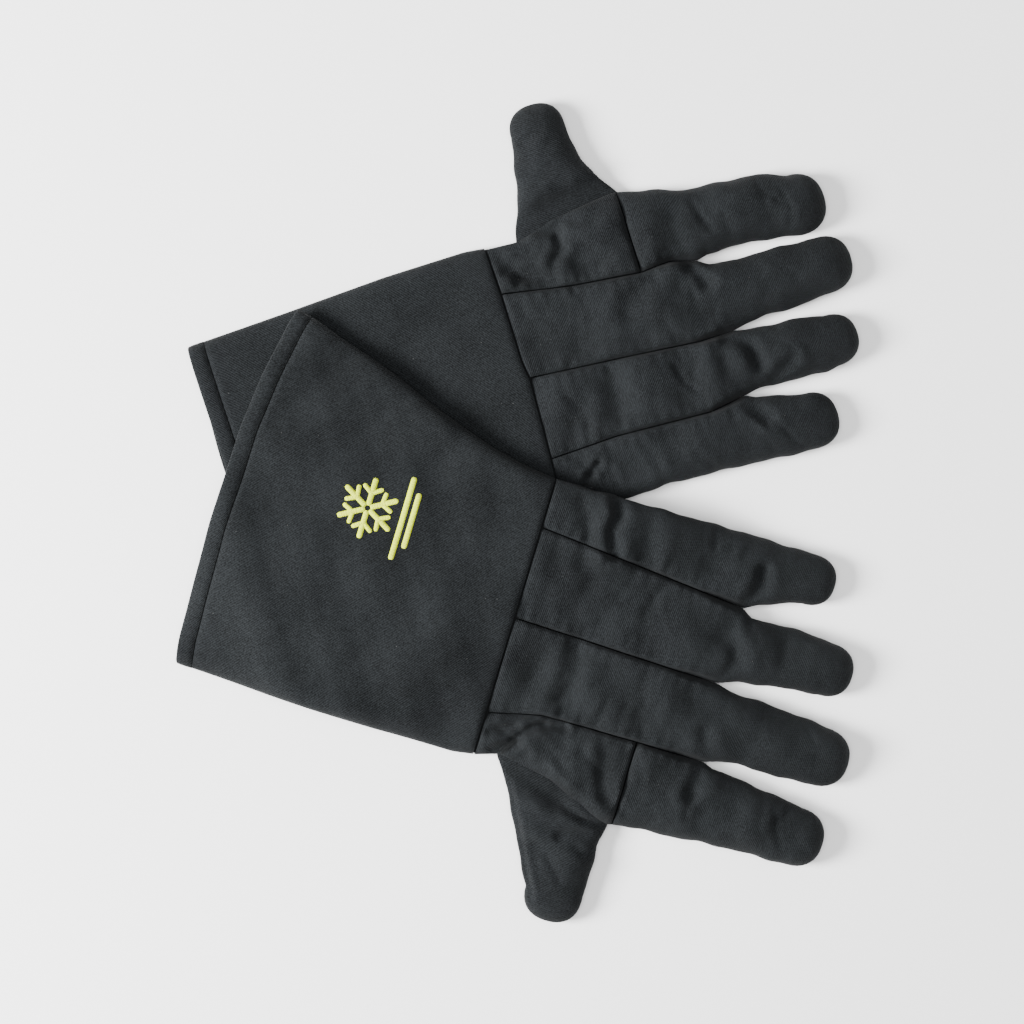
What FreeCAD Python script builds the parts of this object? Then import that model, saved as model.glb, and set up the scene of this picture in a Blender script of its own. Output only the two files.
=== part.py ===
"""A pair of insulated gauntlet gloves, lying back up, the left one over the right one's cuff.

Each glove is a stack of sewn cloth: a twill shell cut in strips along the back of the hand, a one piece palm,
five finger stalls, a flared cuff with a turned hem, and an insulated lining inside all of it.
The hand and the cuff are made of flat facets. The left glove is folded along straight lines to lie on the
other one.
Each glove has its own frame: x runs from the wrist seam to the fingertips, y towards the little finger, z up.
The right glove is the left one's pattern mirrored in y.
"""
import FreeCAD, Part
import Sketcher
import math
import os

App = FreeCAD
V = App.Vector

# ------------------------------------------------ driving dimensions, in millimetres and degrees
GENERAL = {
    "shell_thick": 1.2,       # twill shell
    "lining_thick": 1.6,      # insulated lining
    "layer_gap": 0.5,         # air between the shell and the lining
    "seam_gap": 0.3,          # from a panel's edge to the seam's middle
    "side_gap": 0.6,          # between the palm's side and the back's side of the shell
    "cuff_height": 11.5,      # a flattened cuff, outside
    "hand_height": 17.0,      # the padded hand, outside
    "finger_height": 16.0,
    "thumb_height": 14.0,
    "edge_round_cuff": 9.0,   # how far the cuff's side fold reaches in
    "edge_round_hand": 22.0,  # how far the hand's outer edge curves in
    "stall_round": 10.0,      # the round along a stall's top edge
    "hand_rise_from": 10.0,   # where the hand starts to be thicker than the cuff
    "hand_rise_to": 85.0,
    "hem_width": 9.5,
    "wrist_half": 1.2,        # half the wrist seam's width
    "wrist_dip": 0.8,         # how much lower the wrist seam is than the cuff
    "wrist_floor": 0.3,       # the wrist seam's lower side above the surface
    "hem_turn": 1.7,          # how much thicker than the shell the hem's turned edge is
    "badge_length": 36.0,     # the embroidered badge, along the glove
    "badge_width": 50.0,
    "badge_thick": 0.8,
    "badge_along": -91.0,     # its middle, on the cuff
    "badge_across": 35.0,
    "badge_gap": 0.05,        # from the cuff to the badge
    "piece_gap": 0.3,         # between the hem, the cuff, the wrist seam and the hand
    "open_by": 2.0,           # how far the hollow of a stall runs out through its root
    "root_gap": 0.5,          # between neighbouring stalls to each side, and from a stall to the hand
    "drape_rise": 14.0,       # how high the left glove lies on the right one
    "drape_run": 50.0,        # how far it takes to come down to the surface again
    "drape_margin": 3.0,
    "drape_side_x": 36.0,     # where the right glove's outer edge comes out from under the left one
    "lower_clear": 0.9,       # keeps the lower lining clear of the upper one's sides
    "shift_x": 0.685,          # moves the pair so that its box is centred on the origin
    "shift_y": -0.35,
}
# The cuff's corners and the seams between the strips where they meet the wrist seam and the knuckle line.
CUFF = {"hem_thumb_x": -178.0, "hem_thumb_y": -79.5, "hem_little_x": -167.0, "hem_little_y": 130.5}
SEAMS = {
    "left": {"wrist": (-80.5, -56.5, -1.0, 52.5, 80.5), "knuckle": (-95.0, -49.0, -3.0, 41.0, 82.0)},
    "right": {"wrist": (-81.0, -54.0, -4.0, 43.0, 80.0), "knuckle": (-80.5, -39.5, 4.0, 42.5, 79.0)},
}
KNUCKLE_X = {"left": 120.0, "right": 118.0}
CROSS_SEAM = {"left": (86.0, -98.0), "right": (81.0, -90.0)}   # seam across the index strip: x, outer y
STRIPS = ("index", "middle", "ring", "little")
# The middle of each stall's round tip (x, y) and its radius.
TIPS = {
    "left": {
        "index": (187.7, -74.5, 15.8), "middle": (188.0, -26.0, 16.5), "ring": (177.8, 21.5, 15.2),
        "little": (154.5, 68.0, 14.5), "thumb": (67.0, -144.5, 15.5),
    },
    "right": {
        "index": (174.7, -53.5, 17.3), "middle": (180.5, -17.0, 16.5), "ring": (173.0, 25.5, 15.0),
        "little": (149.0, 66.0, 15.5), "thumb": (48.5, -136.5, 15.5),
    },
}
# The thumb's root along the hand's outer edge, in x.
THUMB_SPAN = {"left": (14.0, 84.0), "right": (18.0, 80.0)}
TIP_COLUMNS = ("tip_x", "tip_y", "tip_radius")
# Each glove's place in the pair: wrist seam's middle, and the turn of the hand's direction.
PLACES = {
    "left": {"at_x": -1.4, "at_y": -58.4, "turn": -16.58},
    "right": {"at_x": 5.4, "at_y": 72.0, "turn": 16.97},
}
SIDES = ("left", "right")
MIRROR = {"left": 1.0, "right": -1.0}
STALLS = STRIPS + ("thumb",)
# A gentle rise in straight stretches: shares of the way and of the height.
RISE = ((0.0, 0.0), (0.25, 0.16), (0.75, 0.84), (1.0, 1.0))

doc = App.newDocument("Gloves")
sheet = doc.addObject("Spreadsheet::Sheet", "Sizes")


def sheet_values():
    """Every driving dimension as alias and value."""
    values = dict(GENERAL, **CUFF)
    for side in SIDES:
        values["knuckle_x_" + side] = KNUCKLE_X[side]
        values["cross_seam_x_" + side], values["cross_seam_y_" + side] = CROSS_SEAM[side]
        values["thumb_from_" + side], values["thumb_to_" + side] = THUMB_SPAN[side]
        for line in ("wrist", "knuckle"):
            for number, y in enumerate(SEAMS[side][line]):
                values["_".join(("seam", line, "abcde"[number], side))] = y
        for stall in STALLS:
            for column, value in zip(TIP_COLUMNS, TIPS[side][stall]):
                values["_".join((side, stall, column))] = value
        for name, value in PLACES[side].items():
            values["_".join((side, name))] = value
    return values


for row, (alias, value) in enumerate(sheet_values().items(), start=1):
    sheet.set("A%d" % row, alias)
    sheet.set("B%d" % row, str(value))
    sheet.setAlias("B%d" % row, alias)
doc.recompute()


def size(alias):
    """A driving dimension as the sheet holds it."""
    return float(sheet.get(alias))


# ---------------------------------------------------------------- how a glove lies
def lerp(a, b, share):
    return a + (b - a) * share


def eased(share):
    """0 to 1 in the straight stretches of RISE."""
    share = min(1.0, max(0.0, share))
    for (x0, y0), (x1, y1) in zip(RISE, RISE[1:]):
        if share <= x1:
            return lerp(y0, y1, (share - x0) / (x1 - x0))
    return 1.0


def glove_origin(side):
    """The middle of a glove's wrist seam, in the pair's frame."""
    return size(side + "_at_x") + size("shift_x"), size(side + "_at_y") + size("shift_y")


def into_pair(side, x, y):
    """A point of a glove's own frame, in the pair's frame."""
    turn = math.radians(size(side + "_turn"))
    at_x, at_y = glove_origin(side)
    y = MIRROR[side] * y
    return at_x + x * math.cos(turn) - y * math.sin(turn), at_y + x * math.sin(turn) + y * math.cos(turn)


def from_pair(side, pair_x, pair_y):
    """The way back of into_pair."""
    turn = math.radians(size(side + "_turn"))
    at_x, at_y = glove_origin(side)
    dx, dy = pair_x - at_x, pair_y - at_y
    return (dx * math.cos(turn) + dy * math.sin(turn),
            MIRROR[side] * (-dx * math.sin(turn) + dy * math.cos(turn)))


def right_in_left(x, y):
    """A point of the right glove, in the left glove's frame."""
    return from_pair("left", *into_pair("right", x, y))


def line_through(start, end):
    """A line as (a, b, c): a x + b y - c is how far a point lies to the right of it."""
    length = math.dist(start, end)
    a, b = (end[1] - start[1]) / length, (start[0] - end[0]) / length
    return a, b, a * start[0] + b * start[1]


# The right glove's little finger side and its hem bound what the left glove lies on.
COVER_CORNER = right_in_left(size("hem_little_x"), size("hem_little_y"))
COVER_SIDE = right_in_left(size("drape_side_x"), size("seam_wrist_e_right"))
COVER_HEM = right_in_left(size("hem_thumb_x"), size("hem_thumb_y"))
COVER = (line_through(COVER_CORNER, COVER_SIDE), line_through(COVER_HEM, COVER_CORNER))


def lift(side, x, y):
    """How high the left glove is held up here by the right one."""
    if side == "right":
        return 0.0
    clear = max(a * x + b * y - c for a, b, c in COVER)
    return size("drape_rise") * (1 - eased((clear - size("drape_margin")) / size("drape_run")))


def fold_lines():
    """The lines that the left glove is folded along: beside both edges of the cover, and between the two."""
    reaches = [size("drape_margin") + size("drape_run") * share for share, _ in RISE]
    lines = [(a, b, c + reach) for a, b, c in COVER for reach in reaches]
    return lines + [tuple(one - other for one, other in zip(*COVER))]


FOLDS = {"left": fold_lines(), "right": []}


def hand_height(x):
    """Outside height of the hand between the wrist and the knuckles."""
    start, end = size("hand_rise_from"), size("hand_rise_to")
    return lerp(size("cuff_height"), size("hand_height"), eased((x - start) / (end - start)))


# ---------------------------------------------------------------- cloth as closed solids with flat facets
FLAT = 1e-6               # cubic millimetres: four points that span less lie in a plane
TINY = 1e-7


def arch(width, top, round_low, round_high, inset):
    """A section as (distance across, height): it rises at a rounded edge, runs flat and comes down again.

    A round of 0 leaves that end open at full height. inset moves the section inwards from the outside.
    """
    base = size("shell_thick") + size("side_gap")
    rise = top - inset - base
    steps = 6
    turns = [math.pi / 2 * i / (steps - 1) for i in range(steps)]
    low, high = [(0.0, top - inset)], [(width, top - inset)]
    if round_low:
        low = [(round_low - (round_low - inset) * math.cos(a), base + rise * math.sin(a)) for a in turns]
    if round_high:
        middle, radius = width - round_high, round_high - inset
        high = [(middle + radius * math.cos(a), base + rise * math.sin(a)) for a in turns]
    return low + high[::-1]


def place_section(low, high, section):
    """Section points along the line low to high, in the glove's frame before it is folded."""
    length = math.dist(low, high)
    return [(lerp(low[0], high[0], across / length), lerp(low[1], high[1], across / length), z)
            for across, z in section]


def is_flat(quad):
    """Do four points lie in one plane?"""
    origin, *others = [V(*point) for point in quad]
    a, b, c = [point - origin for point in others]
    return abs(a.cross(b).dot(c)) < FLAT


def split_at(polygon, line):
    """The parts of a convex polygon on the two sides of an upright plane through a line."""
    a, b, c = line
    reach = [a * x + b * y - c for x, y, _ in polygon]
    if min(reach) > -TINY or max(reach) < TINY:
        return [polygon]
    right, left = [], []
    for k, point in enumerate(polygon):
        here, there = reach[k - 1], reach[k]
        if here * there < -TINY ** 2:
            share = here / (here - there)
            crossing = tuple(lerp(p, q, share) for p, q in zip(polygon[k - 1], point))
            right.append(crossing)
            left.append(crossing)
        if there > -TINY:
            right.append(point)
        if there < TINY:
            left.append(point)
    return [right, left]


def facets(side, quad):
    """The flat faces that a quad of the unfolded cloth becomes."""
    parts = [list(quad)] if is_flat(quad) else [[quad[0], quad[1], quad[2]], [quad[2], quad[3], quad[0]]]
    for line in FOLDS[side]:
        parts = [piece for part in parts for piece in split_at(part, line)]
    made = []
    for part in parts:
        corners = [V(x, MIRROR[side] * y, z + lift(side, x, y)) for x, y, z in part]
        made.append(Part.Face(Part.makePolygon(corners + corners[:1])))
    return made


def quads_between(one, other):
    return list(zip(one, one[1:], other[1:], other))


def solid_between(side, outer, inner):
    """The closed solid between two grids of points of the same size, folded as its glove is."""
    quads = []
    for grid in (outer, inner):
        for row, following in zip(grid, grid[1:]):
            quads += quads_between(row, following)
    for end in (0, -1):
        quads += quads_between(outer[end], inner[end])
        quads += quads_between([row[end] for row in outer], [row[end] for row in inner])
    shell = Part.makeShell([face for quad in quads for face in facets(side, quad)])
    shell.sewShape()
    solid = Part.makeSolid(shell)
    if solid.Volume < 0:
        solid.reverse()
    return solid.removeSplitter()


def panel_solid(side, stations, outer, inner):
    """A glove's back from outer to inner below its outside, over (low, high, top, round, round)."""
    grids = [[place_section(low, high, arch(math.dist(low, high), top, a, b, inset))
              for low, high, top, a, b in stations] for inset in (outer, inner)]
    return solid_between(side, *grids)


def slab_solid(side, lines, z_low, z_high):
    """A plate of cloth between two heights over lines (low, high) across the glove."""
    grids = [[[(*low, z), (*high, z)] for low, high in lines] for z in (z_high, z_low)]
    return solid_between(side, *grids)


def narrowed(line, margin):
    """A line (low, high) with margin taken off both ends."""
    low, high = line
    share = margin / math.dist(low, high)
    return ((lerp(low[0], high[0], share), lerp(low[1], high[1], share)),
            (lerp(high[0], low[0], share), lerp(high[1], low[1], share)))


pieces = []


def put_in_place(piece, side):
    """Gives a piece its glove's place in the pair, bound to the sheet."""
    at_x, at_y = glove_origin(side)
    piece.Placement = App.Placement(V(at_x, at_y, 0), App.Rotation(V(0, 0, 1), size(side + "_turn")))
    piece.setExpression("Placement.Base.x", "Sizes.%s_at_x + Sizes.shift_x" % side)
    piece.setExpression("Placement.Base.y", "Sizes.%s_at_y + Sizes.shift_y" % side)
    pieces.append(piece)


def cloth(label, side, solids):
    """A soft piece of folded or arched cloth, which no sketch feature makes."""
    piece = doc.addObject("Part::Feature", label)
    piece.Label = label
    piece.Shape = solids[0] if len(solids) == 1 else Part.makeCompound(solids)
    put_in_place(piece, side)


# ---------------------------------------------------------------- pieces from sketches
class Amount:
    """A number together with the expression of the sheet's sizes that gives it."""

    def __init__(self, value, text):
        self.value = value
        self.text = text

    def with_other(self, other, sign, value):
        return Amount(value, "(%s %s %s)" % (self.text, sign, other.text))

    def __add__(self, other):
        return self.with_other(other, "+", self.value + other.value)

    def __sub__(self, other):
        return self.with_other(other, "-", self.value - other.value)

    def __mul__(self, other):
        return self.with_other(other, "*", self.value * other.value)

    def __truediv__(self, other):
        return self.with_other(other, "/", self.value / other.value)


def dim(alias):
    """A driving dimension as an Amount."""
    return Amount(size(alias), "Sizes." + alias)


NONE = Amount(0.0, "0")


def mirrored(side, point):
    """A point of the left glove's pattern, for a sketch of either glove."""
    x, y = point
    return (x, y) if side == "left" else (x, NONE - y)


def flat_vector(point):
    return V(point[0].value, point[1].value, 0)


def name_last(sketch, index, title, text):
    sketch.renameConstraint(index, title)
    sketch.setExpression("Constraints." + title, text)


def pin_point(sketch, line, end, title, point):
    """Ties a line's end (1 or 2) or an arc's middle (3) to sizes of the sheet."""
    for kind, amount in zip(("DistanceX", "DistanceY"), point):
        index = sketch.addConstraint(Sketcher.Constraint(kind, -1, 1, line, end, amount.value))
        name_last(sketch, index, title + kind[-1].lower(), amount.text)


def draw_corners(sketch, corners):
    """A closed outline of straight sides."""
    points = [flat_vector(corner) for corner in corners]
    count = len(points)
    for k in range(count):
        sketch.addGeometry(Part.LineSegment(points[k], points[(k + 1) % count]), False)
    for k in range(count):
        sketch.addConstraint(Sketcher.Constraint("Coincident", k, 2, (k + 1) % count, 1))
    for k in range(count):
        pin_point(sketch, k, 1, "corner_%d_" % k, corners[k])


def touching_point(corner, middle, radius, other):
    """Where a line from corner touches a circle, on the side away from the other corner."""
    to_middle = middle - corner
    length = math.sqrt(to_middle.Length ** 2 - radius ** 2)
    swing = math.asin(radius / to_middle.Length)
    touching = []
    for turn in (swing, -swing):
        heading = App.Rotation(V(0, 0, 1), math.degrees(turn)).multVec(to_middle)
        touching.append(corner + heading * (length / to_middle.Length))
    return max(touching, key=lambda point: point.distanceToPoint(other))


def draw_stall(sketch, corners, middle, radius, construction=False):
    """An outline from a root's two ends to a round tip whose circle its sides touch. Gives its points."""
    low, high = [flat_vector(corner) for corner in corners]
    centre = flat_vector(middle)
    touches = (touching_point(low, centre, radius.value, high),
               touching_point(high, centre, radius.value, low))
    ahead = centre - (low + high) * 0.5
    apex = centre + ahead * (radius.value / ahead.Length)
    draw_loop(sketch, (low, high), touches, apex, centre, construction)
    pin_point(sketch, 0, 1, "low_", corners[0])
    pin_point(sketch, 0, 2, "high_", corners[1])
    pin_point(sketch, 2, 3, "middle_", middle)
    tip = sketch.addConstraint(Sketcher.Constraint("Radius", 2, radius.value))
    name_last(sketch, tip, "tip_radius", radius.text)
    return low, high, touches, apex, centre


def draw_loop(sketch, ends, touches, apex, centre, construction=False):
    """A root line, two sides and a round tip, joined to each other. Gives the first one's number."""
    (low, high), (low_touch, high_touch) = ends, touches
    anticlockwise = (apex - centre).cross(high_touch - centre).z > 0
    arc = (low_touch, apex, high_touch) if anticlockwise else (high_touch, apex, low_touch)
    first, last = (2, 1) if anticlockwise else (1, 2)
    root = sketch.GeometryCount
    sketch.addGeometry(Part.LineSegment(low, high), construction)
    sketch.addGeometry(Part.LineSegment(high, high_touch), construction)
    sketch.addGeometry(Part.Arc(*arc), construction)
    sketch.addGeometry(Part.LineSegment(low_touch, low), construction)
    sketch.addConstraint(Sketcher.Constraint("Coincident", root, 2, root + 1, 1))
    sketch.addConstraint(Sketcher.Constraint("Coincident", root + 3, 2, root, 1))
    sketch.addConstraint(Sketcher.Constraint("Tangent", root + 1, 2, root + 2, first))
    sketch.addConstraint(Sketcher.Constraint("Tangent", root + 2, last, root + 3, 1))
    return root


def draw_layer(sketch, corners, middle, radius, inset, back):
    """A stall's outline moved inwards by inset, and out through its root by back. Gives its root's ends."""
    low, high, touches, apex, centre = draw_stall(sketch, corners, middle, radius, True)
    ahead = V(low.y - high.y, high.x - low.x, 0).normalize()
    if (centre - low).dot(ahead) < 0:
        ahead = -ahead
    inner_radius = radius - inset
    inner_touches, ends = [], []
    for corner, touch in zip((low, high), touches):
        inner = centre + (touch - centre) * (inner_radius.value / radius.value)
        along = corner - touch
        reach = (-back.value - (inner - low).dot(ahead)) / along.dot(ahead)
        inner_touches.append(inner)
        ends.append(inner + along * reach)
    inner_apex = centre + (apex - centre) * (inner_radius.value / radius.value)
    root = draw_loop(sketch, ends, inner_touches, inner_apex, centre)
    for number in (0, 1, 3):
        sketch.addConstraint(Sketcher.Constraint("Parallel", number, root + number))
    sketch.addConstraint(Sketcher.Constraint("Coincident", 2, 3, root + 2, 3))
    index = sketch.addConstraint(Sketcher.Constraint("Radius", root + 2, inner_radius.value))
    name_last(sketch, index, "layer_radius", inner_radius.text)
    if back is NONE:
        sketch.addConstraint(Sketcher.Constraint("PointOnObject", root, 1, 0))
    else:
        out = sketch.addConstraint(Sketcher.Constraint("Distance", root, 1, 0, back.value))
        name_last(sketch, out, "back", back.text)
    return ends


def padded_body(label, draw, bottom, height):
    """A body with one sketch, drawn by draw, padded from bottom by height."""
    body = doc.addObject("PartDesign::Body", label)
    body.Label = label
    sketch = body.newObject("Sketcher::SketchObject", label + "_outline")
    plane = next(f for f in body.Origin.OriginFeatures if f.Role == "XY_Plane")
    sketch.AttachmentSupport = (plane, [""])
    sketch.MapMode = "FlatFace"
    sketch.setExpression("AttachmentOffset.Base.z", bottom.text)
    draw(sketch)
    pad = body.newObject("PartDesign::Pad", label + "_pad")
    pad.Profile = sketch
    pad.setExpression("Length", height.text)
    return body, pad


def round_top(body, pad, root, radius):
    """Rounds a stall's top edge, but not where it is open at its root."""
    doc.recompute()
    top = pad.Shape.BoundBox.ZMax
    ends = [corner + V(0, 0, top) for corner in root]
    names = []
    for number, edge in enumerate(pad.Shape.Edges, start=1):
        points = [vertex.Point for vertex in edge.Vertexes]
        at_root = all(min(point.distanceToPoint(end) for end in ends) < 0.01 for point in points)
        if min(point.z for point in points) > top - 0.01 and not at_root:
            names.append("Edge%d" % number)
    fillet = body.newObject("PartDesign::Fillet", body.Label + "_round")
    fillet.Base = (pad, names)
    fillet.setExpression("Radius", radius.text)


# ---------------------------------------------------------------- outlines
def cuff_line(side, share):
    """The ends of a line across the cuff, from the hem (0) to the wrist seam (1)."""
    wrist_low, wrist_high = size("seam_wrist_a_" + side), size("seam_wrist_e_" + side)
    low = (lerp(size("hem_thumb_x"), 0.0, share), lerp(size("hem_thumb_y"), wrist_low, share))
    high = (lerp(size("hem_little_x"), 0.0, share), lerp(size("hem_little_y"), wrist_high, share))
    return low, high


def seam_y(side, number, x):
    """The y of seam a to e (0 to 4) at x. The thumb's side has a corner at the cross seam."""
    letter = "abcde"[number]
    wrist, knuckle = size("seam_wrist_%s_%s" % (letter, side)), size("seam_knuckle_%s_%s" % (letter, side))
    knuckle_x = size("knuckle_x_" + side)
    if number > 0:
        return lerp(wrist, knuckle, x / knuckle_x)
    corner_x, corner_y = size("cross_seam_x_" + side), size("cross_seam_y_" + side)
    if x <= corner_x:
        return lerp(wrist, corner_y, x / corner_x)
    return lerp(corner_y, knuckle, (x - corner_x) / (knuckle_x - corner_x))


def strip_stations(side, low_seam, high_seam, x_from, x_to):
    """Stations of the hand's back between two seams. The outer edges are rounded, the seams are not."""
    start, end = size("hand_rise_from"), size("hand_rise_to")
    bends = [lerp(start, end, share) for share, _ in RISE] + [size("cross_seam_x_" + side)]
    gap, reach = size("seam_gap"), size("edge_round_hand")
    stations = []
    for x in sorted([x_from, x_to] + [bend for bend in bends if x_from < bend < x_to]):
        low = (x, seam_y(side, low_seam, x) + (gap if low_seam > 0 else 0.0))
        high = (x, seam_y(side, high_seam, x) - (gap if high_seam < 4 else 0.0))
        stations.append((low, high, hand_height(x), 0 if low_seam else reach, reach if high_seam == 4 else 0))
    return stations


def cuff_stations(side, *shares):
    """Stations across the cuff at shares of its length."""
    reach = size("edge_round_cuff")
    return [(*cuff_line(side, share), size("cuff_height"), reach, reach) for share in shares]


def lines_of(stations, margin=0.0):
    return [narrowed(station[:2], margin) for station in stations]


def stall_height_alias(stall):
    return "thumb_height" if stall == "thumb" else "finger_height"


def stall_corners(side, stall):
    """The two ends of a stall's root."""
    gap = dim("root_gap")
    if stall != "thumb":
        x = dim("knuckle_x_" + side) + gap
        letters = "abcde"[STRIPS.index(stall):][:2]
        low, high = [dim("seam_knuckle_%s_%s" % (letter, side)) for letter in letters]
        return [(x, low + gap), (x, high - gap)]
    wrist, corner = dim("seam_wrist_a_" + side), dim("cross_seam_y_" + side)
    ends = dim("thumb_from_" + side), dim("thumb_to_" + side)
    return [(x, wrist + (corner - wrist) * x / dim("cross_seam_x_" + side) - gap) for x in ends]


# ---------------------------------------------------------------- the pieces of one glove
SHELL = size("shell_thick")
LINING_OUT = SHELL + size("layer_gap")
LINING_IN = LINING_OUT + size("lining_thick")
LOWER_LINING = (SHELL + size("side_gap"), SHELL + size("side_gap") + size("lining_thick"))
LOWER_MARGIN = LINING_IN + size("lower_clear")
HEM_SHARE = size("hem_width") / -size("hem_thumb_x")
WRIST_HALF = size("wrist_half")
WRIST_SHARE = 1 + WRIST_HALF / size("hem_thumb_x")
PIECE_GAP = size("piece_gap")
GAP_SHARE = PIECE_GAP / -size("hem_thumb_x")


def panel(side, label, stations):
    cloth(side + "_" + label, side, [panel_solid(side, stations, 0.0, SHELL)])


def lining(side, label, stations):
    cloth(side + "_" + label, side, [
        panel_solid(side, stations, LINING_OUT, LINING_IN),
        slab_solid(side, lines_of(stations, LOWER_MARGIN), *LOWER_LINING)])


def make_cuff(side):
    """The flared cuff, its hem and the wrist seam."""
    inside = cuff_stations(side, HEM_SHARE + GAP_SHARE, WRIST_SHARE - GAP_SHARE)
    panel(side, "cuff_back_panel", inside)
    lining(side, "cuff_lining", inside)
    if side == "left":
        cloth("left_cuff_palm_panel", side, [slab_solid(side, lines_of(inside), 0.0, SHELL)])
    hem = cuff_stations(side, 0.0, HEM_SHARE)
    turned = SHELL + size("hem_turn")
    cloth(side + "_hem_band", side, [panel_solid(side, hem, 0.0, turned),
                                     slab_solid(side, lines_of(hem), 0.0, SHELL)])
    reach, top = size("edge_round_cuff"), size("cuff_height") - size("wrist_dip")
    low, high = size("seam_wrist_a_" + side), size("seam_wrist_e_" + side)
    band = [((x, low), (x, high), top, reach, reach) for x in (-WRIST_HALF, WRIST_HALF)]
    cloth(side + "_wrist_seam", side, [panel_solid(side, band, 0.0, SHELL),
                                       slab_solid(side, lines_of(band), size("wrist_floor"), SHELL)])


def make_hand(side):
    """The back of the hand in strips, the one piece palm and the hand's lining."""
    start, end = WRIST_HALF + PIECE_GAP, size("knuckle_x_" + side)
    cross = size("cross_seam_x_" + side)
    panel(side, "index_base_panel", strip_stations(side, 0, 1, start, cross - size("seam_gap")))
    panel(side, "index_strip", strip_stations(side, 0, 1, cross + size("seam_gap"), end))
    for number, stall in enumerate(STRIPS[1:], start=1):
        panel(side, stall + "_strip", strip_stations(side, number, number + 1, start, end))
    whole = strip_stations(side, 0, 4, start, end)
    lining(side, "hand_lining", whole)
    if side == "left":
        cloth("left_palm_panel", side, [slab_solid(side, lines_of(whole), 0.0, SHELL)])


def stall_outline(side, stall):
    """A stall's root corners, the middle of its tip and the tip's radius, for a sketch."""
    named = "_".join((side, stall, "tip_"))
    corners = [mirrored(side, corner) for corner in stall_corners(side, stall)]
    return corners, mirrored(side, (dim(named + "x"), dim(named + "y"))), dim(named + "radius")


def stall_block(label, side, stall, inset, bottom, back=NONE):
    """A solid stall with a rounded top: the outside of one layer, or what the layer holds."""
    ends = []

    def draw(sketch):
        if inset is NONE:
            ends.extend(draw_stall(sketch, *stall_outline(side, stall))[:2])
        else:
            ends.extend(draw_layer(sketch, *stall_outline(side, stall), inset, back))
    body, pad = padded_body(label, draw, bottom, dim(stall_height_alias(stall)) - inset - bottom)
    round_top(body, pad, ends, dim("stall_round") - inset)
    return body


def make_stall(side, stall):
    """One finger stall: the back, the flat front and the lining, which is a sock with an open root."""
    label = "_".join((side, stall))
    outline = stall_outline(side, stall)
    front, _ = padded_body(label + "_front", lambda sketch: draw_stall(sketch, *outline), NONE,
                           dim("shell_thick"))
    put_in_place(front, side)
    base = dim("shell_thick") + dim("side_gap")
    lining_out = dim("shell_thick") + dim("layer_gap")
    layers = {"back": (NONE, dim("shell_thick"), base - dim("open_by")),
              "lining": (lining_out, lining_out + dim("lining_thick"), base + dim("lining_thick"))}
    for layer, (outside, inside, floor) in layers.items():
        cut = doc.addObject("Part::Cut", "_".join((label, layer)))
        cut.Label = cut.Name
        cut.Base = stall_block(cut.Label + "_outside", side, stall, outside, base)
        cut.Tool = stall_block(cut.Label + "_inside", side, stall, inside, floor, dim("open_by"))
        put_in_place(cut, side)


def make_flat_panels():
    """The right glove's cuff and hand on the palm side, which lie flat on the surface."""
    gap, half = dim("piece_gap"), dim("wrist_half")
    hem_x, hem_y = dim("hem_thumb_x"), dim("hem_thumb_y")
    far_x, far_y = dim("hem_little_x"), dim("hem_little_y")
    wrist_low, wrist_high = dim("seam_wrist_a_right"), dim("seam_wrist_e_right")
    share = (dim("hem_width") + gap) / (NONE - hem_x)
    cuff = [(hem_x - hem_x * share, hem_y + (wrist_low - hem_y) * share), (NONE - half - gap, wrist_low),
            (NONE - half - gap, wrist_high), (far_x - far_x * share, far_y + (wrist_high - far_y) * share)]
    knuckle = dim("knuckle_x_right")
    palm = [(half + gap, wrist_low), (dim("cross_seam_x_right"), dim("cross_seam_y_right")),
            (knuckle, dim("seam_knuckle_a_right")), (knuckle, dim("seam_knuckle_e_right")),
            (half + gap, wrist_high)]
    for label, corners in (("right_cuff_palm_panel", cuff), ("right_palm_panel", palm)):
        outline = [mirrored("right", corner) for corner in corners]
        body, _ = padded_body(label, lambda sketch: draw_corners(sketch, outline), NONE, dim("shell_thick"))
        put_in_place(body, "right")


def make_badge(side):
    """The embroidered badge, sewn on the back of the cuff."""
    label = side + "_embroidered_badge"
    badge = doc.addObject("Part::Box", label)
    badge.Label = label
    for prop, alias in (("Length", "badge_length"), ("Width", "badge_width"), ("Height", "badge_thick")):
        badge.setExpression(prop, "Sizes." + alias)
    low_y = size("badge_across") - size("badge_width") / 2
    if side == "right":
        low_y += size("badge_width")
    x, y = into_pair(side, size("badge_along") - size("badge_length") / 2, low_y)
    z = size("cuff_height") + size("badge_gap") + (size("drape_rise") if side == "left" else 0.0)
    badge.Placement = App.Placement(V(x, y, z), App.Rotation(V(0, 0, 1), size(side + "_turn")))
    pieces.append(badge)


for glove in SIDES:
    make_cuff(glove)
    make_badge(glove)
    make_hand(glove)
    for name in STALLS:
        make_stall(glove, name)
make_flat_panels()
doc.recompute()

# ---------------------------------------------------------------- checks and export
os.makedirs("parts", exist_ok=True)
for item in doc.Objects:
    if "Invalid" in item.State or "Error" in item.State:
        raise RuntimeError("%s did not recompute: %s" % (item.Label, item.State))
for piece in pieces:
    if piece.Shape.isNull() or not piece.Shape.isValid():
        raise RuntimeError("%s has no valid shape" % piece.Label)
for piece in pieces:
    piece.Shape.exportStep("parts/%s.step" % piece.Label)

box = App.BoundBox()
for piece in pieces:
    box.add(piece.Shape.BoundBox)
print("%d pieces, box %.2f..%.2f, %.2f..%.2f, %.2f..%.2f" % (
    len(pieces), box.XMin, box.XMax, box.YMin, box.YMax, box.ZMin, box.ZMax))
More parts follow.
